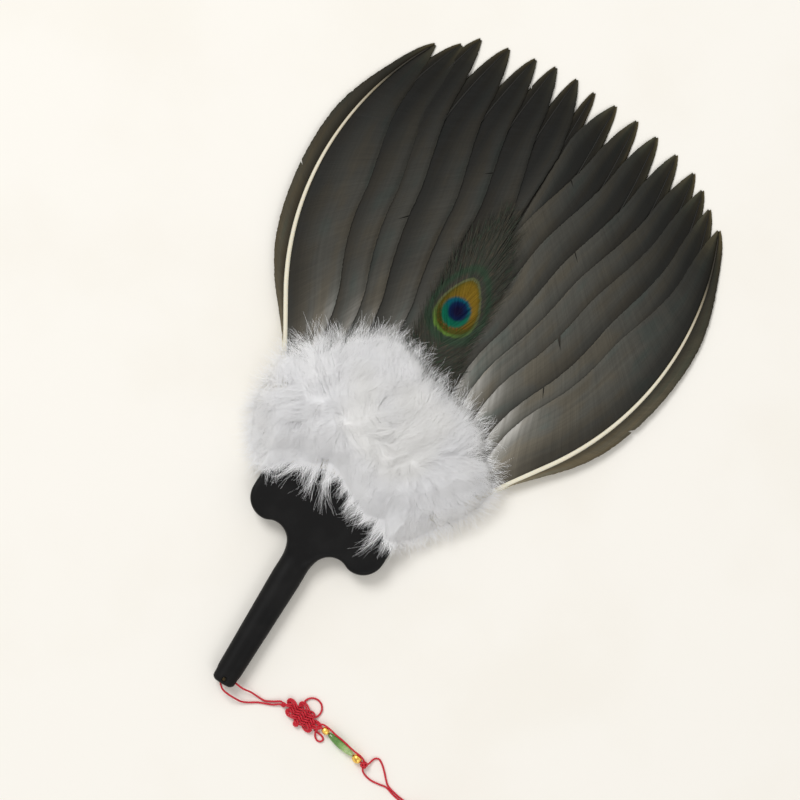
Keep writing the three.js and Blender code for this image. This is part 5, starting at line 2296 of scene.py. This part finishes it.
@dataclass
class Bead:
    """A turned bead on the bead line."""

    name: str
    body: Body
    finish: Finish
    slot: Slot
    along: float
    length: float
    diameter: float
    belly: float = 0.0
    bore: float = 0.95
    rings: int = 12
    steps: int = 40

    def profile(self) -> list[tuple[float, float]]:
        """Outline of half the bead: places along and out, round the section.

        Returns:
            The corners.
        """
        half = self.length / 2.0
        corner = min(half, self.diameter / 2.0)
        spots = []
        lip = math.sqrt(1.0 - (self.bore * 1.25 / (self.diameter / 2.0)) ** 2)
        for number in range(2 * self.rings + 1):
            share = number / self.rings - 1.0
            height = share * lip
            straight = (half - corner) * share
            out = self.diameter / 2.0 * math.sqrt(1.0 - height * height)
            spots.append((straight + corner * share, out * (1.0 - self.belly * share * share)))
        inner = self.bore
        end = spots[-1][0]
        return [(-end + 0.15, inner), (-end - 0.02, inner + 0.12), *spots,
                (end + 0.02, inner + 0.12), (end - 0.15, inner)]

    def build(self, line: "BeadLine") -> Piece:
        """Spins the bead about the cord and puts it in place of its node.

        Args:
            line: the line of the cord.

        Returns:
            The bead.
        """
        mesh = bmesh.new()
        corners = [mesh.verts.new((a * MM, r * MM, 0.0)) for a, r in self.profile()]
        edges = [mesh.edges.new(pair) for pair in zip(corners, corners[1:] + corners[:1])]
        bmesh.ops.spin(
            mesh, geom=corners + edges, cent=(0, 0, 0), axis=(1, 0, 0), angle=FULL_TURN,
            steps=self.steps, use_merge=True,
        )
        bmesh.ops.remove_doubles(mesh, verts=mesh.verts, dist=1e-7)
        bmesh.ops.recalc_face_normals(mesh, faces=mesh.faces)
        layer = mesh.loops.layers.uv.verify()
        for face in mesh.faces:
            face.smooth = True
            for loop in face.loops:
                spot = loop.vert.co
                angle = math.atan2(spot.z, spot.y) / FULL_TURN + 0.5
                loop[layer].uv = (spot.x / MM / 4.0, angle)
        bmesh.ops.rotate(mesh, verts=mesh.verts, matrix=Matrix.Rotation(line.angle, 3, "Z"))
        bmesh.ops.translate(mesh, verts=mesh.verts, vec=Vector(line.at(self.along) * MM))
        data = finished_mesh(self.name, mesh)
        return add_piece(
            f"turned_{self.name}", data, (self.finish,), self.body, self.slot, (self.name,)
        )


@dataclass(frozen=True)
class BeadLine:
    """The straight line of the beads, from the end of the knot."""

    start: Place = (65.08, -116.6, 3.0)
    angle: float = math.radians(-10.2)

    def at(self, along: float, aside: float = 0.0, up: float = 0.0) -> Points:
        """A place along the line, and aside from it on its upper side.

        Args:
            along: distance along the line.
            aside: distance to its upper side.
            up: height above it.

        Returns:
            The place in millimetres.
        """
        way = np.array((math.cos(self.angle), math.sin(self.angle), 0.0))
        across = np.array((-way[1], way[0], 0.0))
        return np.array(self.start) + way * along + across * aside + np.array((0.0, 0.0, up))


@dataclass
class Pendant:
    """Red cord pendant: hanging loop, woven knot, three beads, tails and tassel."""

    cord: SilkCord = field(default_factory=SilkCord)
    knot: WovenKnot = field(default_factory=WovenKnot)
    ring: float = 5.3
    line: BeadLine = field(default_factory=BeadLine)
    pin_y: float = -121.8
    mid_height: float = 7.0
    pin_wrap: float = 2.05
    low: float = 0.8
    strand_aside: float = 0.7
    entry_height: float = 1.85
    stop_along: float = 34.1
    stop_size: float = 4.8
    stop_height: float = 2.55
    cap_ahead: float = 42.0
    cap_aside: float = -7.0
    cap_height: float = 3.15
    cap_diameter: float = 6.0
    cap_length: float = 7.0
    cap_turns: float = 8.0
    fringe_length: float = 48.0
    fringe_diameter: float = 9.2
    fringe_flatness: float = 0.6
    threads: int = 300
    thread_width: float = 0.5
    thread_steps: int = 9
    seed: int = 23

    def loop_points(self) -> list[Place]:
        """Points of the hanging loop, from the knot round the pin and back.

        Returns:
            The points.
        """
        low, wrap, mid, pin = self.low, self.pin_wrap, self.mid_height, self.pin_y
        end, aside, knot_y = 36.35, 0.95, self.knot.knot_y
        return [
            (end + 1.6, knot_y + 0.4, 1.8), (end, knot_y + aside, 1.7),
            (end - 4.0, knot_y + aside - 2.4, low + 0.3), (end - 9.0, pin + 0.9, low),
            (24.0, pin + 0.8, low + 0.3),
            (18.0, pin + 1.1, mid * 0.45), (12.5, pin + 0.6, mid * 0.88), (8.5, pin + 1.0, mid),
            (2.0, pin + wrap, mid), (-0.75 * wrap, pin + 0.75 * wrap, mid),
            (-wrap, pin - 0.35 * wrap, mid), (-0.3 * wrap, pin - 1.7 * wrap, mid),
            (2.5, pin - 6.0, mid), (6.5, pin - 6.8, mid * 0.95), (11.0, pin - 7.0, mid * 0.66),
            (15.6, pin - 6.8, mid * 0.3), (19.8, pin - 5.0, low + 0.3), (24.0, pin - 2.4, low),
            (end - 9.0, pin - 0.9, low), (end - 3.4, knot_y - aside - 2.4, low + 0.3),
            (end, knot_y - aside, 1.7), (end + 1.6, knot_y - 0.4, 1.8),
        ]

    def ear_points(self) -> tuple[Place, ...]:
        """Points of the small ear under the first bead, from the knot into the bead's hole.

        Returns:
            The points.
        """
        end = [tuple(self.line.at(along)) for along in (0.2, 1.6)]
        return (
            (65.6, -120.1, 0.85), (68.4, -120.7, 0.8), (70.2, -122.5, 0.8), (69.3, -124.8, 0.8),
            (66.7, -125.4, 0.8), (64.4, -124.1, 0.9), (63.1, -121.8, 1.7), (62.9, -119.4, 2.6),
            (63.6, -117.4, 3.0), *end,
        )

    def side_points(self) -> list[Points]:
        """Points of the second strand, which passes the jade bead on its upper side.

        Returns:
            The points.
        """
        at = self.line.at
        return [
            at(-3.2, -0.6, -1.2), at(-1.9, 0.7, -0.6), at(-0.2, 1.9, 0.3), at(3.25, 2.5, 1.5),
            at(9.2, 2.4, 1.85), at(15.5, 2.6, 2.15), at(21.8, 2.35, 1.85), at(25.4, 2.4, 1.8),
            at(28.35, 2.7, 2.25), at(31.0, 2.3, 1.3), at(32.6, 1.7, 0.3), at(33.6, 1.2),
        ]

    def stop_place(self) -> Points:
        """Middle of the stop knot.

        Returns:
            The place in millimetres.
        """
        place = self.line.at(self.stop_along)
        place[2] = self.stop_height
        return place

    def tail_points(self, upper: bool) -> list[Points]:
        """Points of a tail strand, from the stop knot to the tassel cap.

        Args:
            upper: whether it is the upper one.

        Returns:
            The points.
        """
        low = self.low
        leave = self.stop_size / 2.0 + 0.95
        if upper:
            spots = [
                (1.2, 0.6, 2.3), (2.2, 2.4, 1.6), (2.8, 4.7, low + 0.2), (3.7, 6.6, low),
                (5.9, 7.5, low), (8.7, 6.1, low), (12.2, 3.1, low), (15.4, -0.3, low),
                (18.6, -3.2, low), (24.0, -4.9, low), (31.0, -6.0, low),
            ]
        else:
            spots = [
                (0.3, -1.2, 2.5), (1.0, -leave, 2.4), (4.0, -5.1, low + 0.2), (8.2, -5.9, low),
                (13.6, -5.4, low), (18.2, -4.7, low), (24.0, -6.3, low), (31.0, -7.5, low),
            ]
        side = 1.0 if upper else -1.0
        spots.append((self.cap_ahead - 3.0, self.cap_aside + 0.85 * side, 2.3))
        spots.append((self.cap_ahead + 0.2, self.cap_aside + 0.75 * side, 3.0))
        spots.append((self.cap_ahead + 2.4, self.cap_aside + 0.7 * side, self.cap_height))
        knot = self.stop_place()
        return [np.array((knot[0] + x, knot[1] + y, z)) for x, y, z in spots]

    def tassel_start(self) -> Points:
        """Near end of the tassel cap, on its axis."""
        knot = self.stop_place()
        return np.array((knot[0] + self.cap_ahead, knot[1] + self.cap_aside, self.cap_height))

    def build_cap(self) -> Piece:
        """Builds the tassel cap, wound with cord.

        Returns:
            The cap.
        """
        start = self.tassel_start()

        def place(along: Points, around: Points) -> Points:
            """Places on the cap.

            Args:
                along: share along it.
                around: share of a turn about it.

            Returns:
                Places in millimetres.
            """
            angle = around * FULL_TURN
            round_in = np.minimum(along, 1.0 - along) * self.cap_length
            ends = np.sqrt(np.clip(round_in / 0.9, 0.0, 1.0))
            wound = np.abs(np.sin(math.pi * (along * self.cap_turns + around)))
            radius = (self.cap_diameter / 2.0 - 0.30 + 0.30 * wound) * ends
            return np.stack((
                start[0] + along * self.cap_length,
                start[1] + radius * np.cos(angle),
                start[2] + radius * np.sin(angle),
            ), axis=-1)

        def label(along: Points, around: Points) -> Points:
            """UV pairs: rows of cord along, and share of a turn."""
            return np.stack((along * 9.0, around), axis=-1)

        mesh = bmesh.new()
        mapped_grid(mesh, 96, 40, place, label, merge=0.004)
        data = finished_mesh("wound_cap", mesh)
        return add_piece(
            "wound_tassel_cap", data, (RED_CORD,), Body.TAIL, Slot.CORD, ("tassel_cap",)
        )

    def build_fringe(self) -> Piece:
        """Builds the threads of the tassel.

        Returns:
            The threads.
        """
        rng = np.random.default_rng(self.seed)
        start = self.tassel_start()
        share = np.linspace(0.0, 1.0, self.thread_steps + 1)
        angle = rng.uniform(0.0, FULL_TURN, self.threads)
        out = np.sqrt(rng.uniform(0.0, 1.0, self.threads))
        hem = self.fringe_diameter / 2.0 - 0.3
        grow = 0.46 + 0.54 * eased(share, 0.0, 0.75)
        radius = out[:, None] * hem * grow
        sway = rng.normal(0.0, 0.35, self.threads)[:, None] * share**2
        reach = self.fringe_length * rng.uniform(0.93, 0.995, self.threads)
        x = start[0] + self.cap_length - 0.6 + reach[:, None] * share
        y = start[1] + radius * np.cos(angle)[:, None] + sway
        flat = 1.0 - (1.0 - self.fringe_flatness) * eased(share, 0.0, 0.4)
        z = start[2] + radius * np.sin(angle)[:, None] * flat - 0.5 * share
        lines = np.stack((x, y, np.maximum(z, 0.35)), axis=-1)
        widths = np.full(lines.shape[:2], self.thread_width)
        facing = np.zeros_like(lines)
        facing[..., 2] = 1.0
        tones = rng.uniform(0.0, 1.0, self.threads)
        bundle = StrandBundle(self.thread_steps, 4)
        data = bundle.mesh("tassel_threads", lines, widths, facing, tones)
        return add_piece(
            "tassel_threads", data, (RED_CORD,), Body.TAIL, Slot.CORD, ("tassel_fringe",)
        )

    def build(self) -> list[Piece]:
        """Builds the pendant from the loop to the tassel.

        Returns:
            The pieces.
        """
        cord = self.cord
        beads = [
            Bead("upper_bead", Body.UPPER_BEAD, GILT, Slot.GOLD, 3.25, 4.5, 4.5),
            Bead("jade_bead", Body.JADE_BEAD, JADE, Slot.JADE, 15.5, 19.0, 5.4, belly=0.05),
            Bead("lower_bead", Body.LOWER_BEAD, GILT, Slot.GOLD, 28.35, 5.7, 5.7),
        ]
        on_line = [bead.build(self.line) for bead in beads]
        entry = np.array((self.knot.entry_x, self.knot.knot_y, self.entry_height))
        fine = SilkCord(diameter=0.95, sides=10, pitch=0.3)
        tied = fine.tied_knot("entry_knot", entry, self.knot.entry_size, 0.0, Body.PENDANT)
        slim = SilkCord(diameter=1.2, sides=10, pitch=0.3)
        stop = slim.tied_knot(
            "tied_stop_knot", self.stop_place(), self.stop_size, self.line.angle, Body.PENDANT,
            ("stop_knot",),
        )
        cap, fringe = self.build_cap(), self.build_fringe()
        loop = cord.free_cord(
            "red_hanging_loop", self.loop_points(), Body.LOOP, ("hanging_loop",), "object"
        )
        ringed = WovenKnot(ring=self.ring)
        plain = WovenKnot(ends=self.ear_points())
        weave = [
            cord.free_cord(
                "red_woven_knot_left", ringed.points(), Body.PENDANT, ("pendant_knot",), "object",
                (tied,), "coiled", self.strand_aside,
            ),
            cord.free_cord(
                "red_woven_knot_right", plain.points(), Body.PENDANT, (), "object",
                (), "coiled", -self.strand_aside,
            ),
        ]
        through = cord.free_cord(
            "red_bead_cord", [self.line.at(a) for a in (1.2, 8.0, 16.0, 24.0, 33.4)],
            Body.PENDANT, ("bead_cord",), "knot", (*on_line, stop), "taut",
        )
        beside = cord.free_cord(
            "red_side_cord", self.side_points(), Body.PENDANT, ("side_cord",), "object"
        )
        tails = [
            cord.free_cord(
                "red_upper_tail", self.tail_points(True), Body.TAIL, ("upper_tail_strand",),
                "fitting", (cap, fringe),
            ),
            cord.free_cord(
                "red_lower_tail", self.tail_points(False), Body.TAIL, ("lower_tail_strand",),
                "object",
            ),
        ]
        return [*on_line, tied, stop, cap, fringe, loop, *weave, through, beside, *tails]


# Studio


@dataclass
class Studio:
    """Pale floor, soft light from the upper left, and the camera straight above the fan.

    The places and sizes of the lamps and what they aim at are in metres.
    """

    middle: tuple[float, float] = (2.8, 75.8)
    across: float = 480.0
    turn: float = 31.4
    distance: float = 3000.0
    floor_depth: float = 0.1
    fan_height: float = 7.0
    sky: float = 0.56
    seen_sky: float = 0.92
    sky_colour: Colour = (1.0, 0.985, 0.96)
    key_place: Place = (-2.3, 1.2, 3.3)
    key_size: float = 1.8
    key_power: float = 84.0
    fill_place: Place = (2.2, -2.0, 3.2)
    fill_size: float = 2.2
    fill_power: float = 26.0
    aim: Place = (0.0, 0.08, 0.0)

    def build_camera(self) -> None:
        """Makes the camera, a long lens that looks straight down."""
        data = bpy.data.cameras.new("camera")
        data.sensor_width = 36.0
        data.lens = data.sensor_width * (self.distance - self.fan_height) / self.across
        data.clip_end = 50.0
        camera = bpy.data.objects.new("camera", data)
        camera.location = (self.middle[0] * MM, self.middle[1] * MM, self.distance * MM)
        camera.rotation_euler = (0.0, 0.0, math.radians(self.turn))
        bpy.context.scene.collection.objects.link(camera)
        bpy.context.scene.camera = camera

    def build_floor(self) -> None:
        """Makes the floor just under the fan."""
        mesh = bmesh.new()
        bmesh.ops.create_grid(mesh, x_segments=2, y_segments=2, size=6.0)
        bmesh.ops.translate(mesh, verts=mesh.verts, vec=(0.0, 0.0, -self.floor_depth * MM))
        floor = bpy.data.objects.new("floor", finished_mesh("floor", mesh))
        floor.data.materials.append(PAPER.material())
        bpy.context.scene.collection.objects.link(floor)

    def add_lamp(self, name: str, place: Place, size: float, power: float) -> None:
        """Adds a soft square lamp that looks at the fan, its place in metres.

        Args:
            name: name of the lamp.
            place: where it stands.
            size: its side in metres.
            power: its power in watts.
        """
        data = bpy.data.lights.new(name, "AREA")
        data.size = size
        data.energy = power
        lamp = bpy.data.objects.new(name, data)
        lamp.location = place
        aim = Vector(self.aim) - Vector(place)
        lamp.rotation_euler = aim.to_track_quat("-Z", "Y").to_euler()
        bpy.context.scene.collection.objects.link(lamp)

    def build_light(self) -> None:
        """Makes the lamps and the sky."""
        self.add_lamp("key", self.key_place, self.key_size, self.key_power)
        self.add_lamp("fill", self.fill_place, self.fill_size, self.fill_power)
        world = bpy.data.worlds.new("studio")
        bpy.context.scene.world = world
        paint = Paint(world)
        rays = paint.node("ShaderNodeLightPath").outputs
        kinds = ("Camera", "Glossy", "Transmission")
        camera, glossy, through = [Value(paint, rays[f"Is {kind} Ray"]) for kind in kinds]
        strength = camera.most(glossy).most(through) * (self.seen_sky - self.sky) + self.sky
        sockets = {"Color": self.sky_colour, "Strength": strength}
        sky = paint.node("ShaderNodeBackground", None, sockets)
        paint.node("ShaderNodeOutputWorld", None, {"Surface": sky.outputs[0]})

    def build(self) -> None:
        """Builds the studio and sets plain colour."""
        bpy.context.scene.view_settings.view_transform = "Standard"
        self.build_camera()
        self.build_floor()
        self.build_light()


def main() -> None:
    """Builds the fan piece by piece."""
    logging.basicConfig(level=logging.INFO, format="%(message)s")
    spread = FeatherSpread()
    Studio().build()
    Pendant().build()
    Handle().build()
    FlightFeathers(spread).build()
    PeacockFeather(spread).build()
    DownTuft(spread).build()
    BackDown(spread).build()


if __name__ == "__main__":
    main()
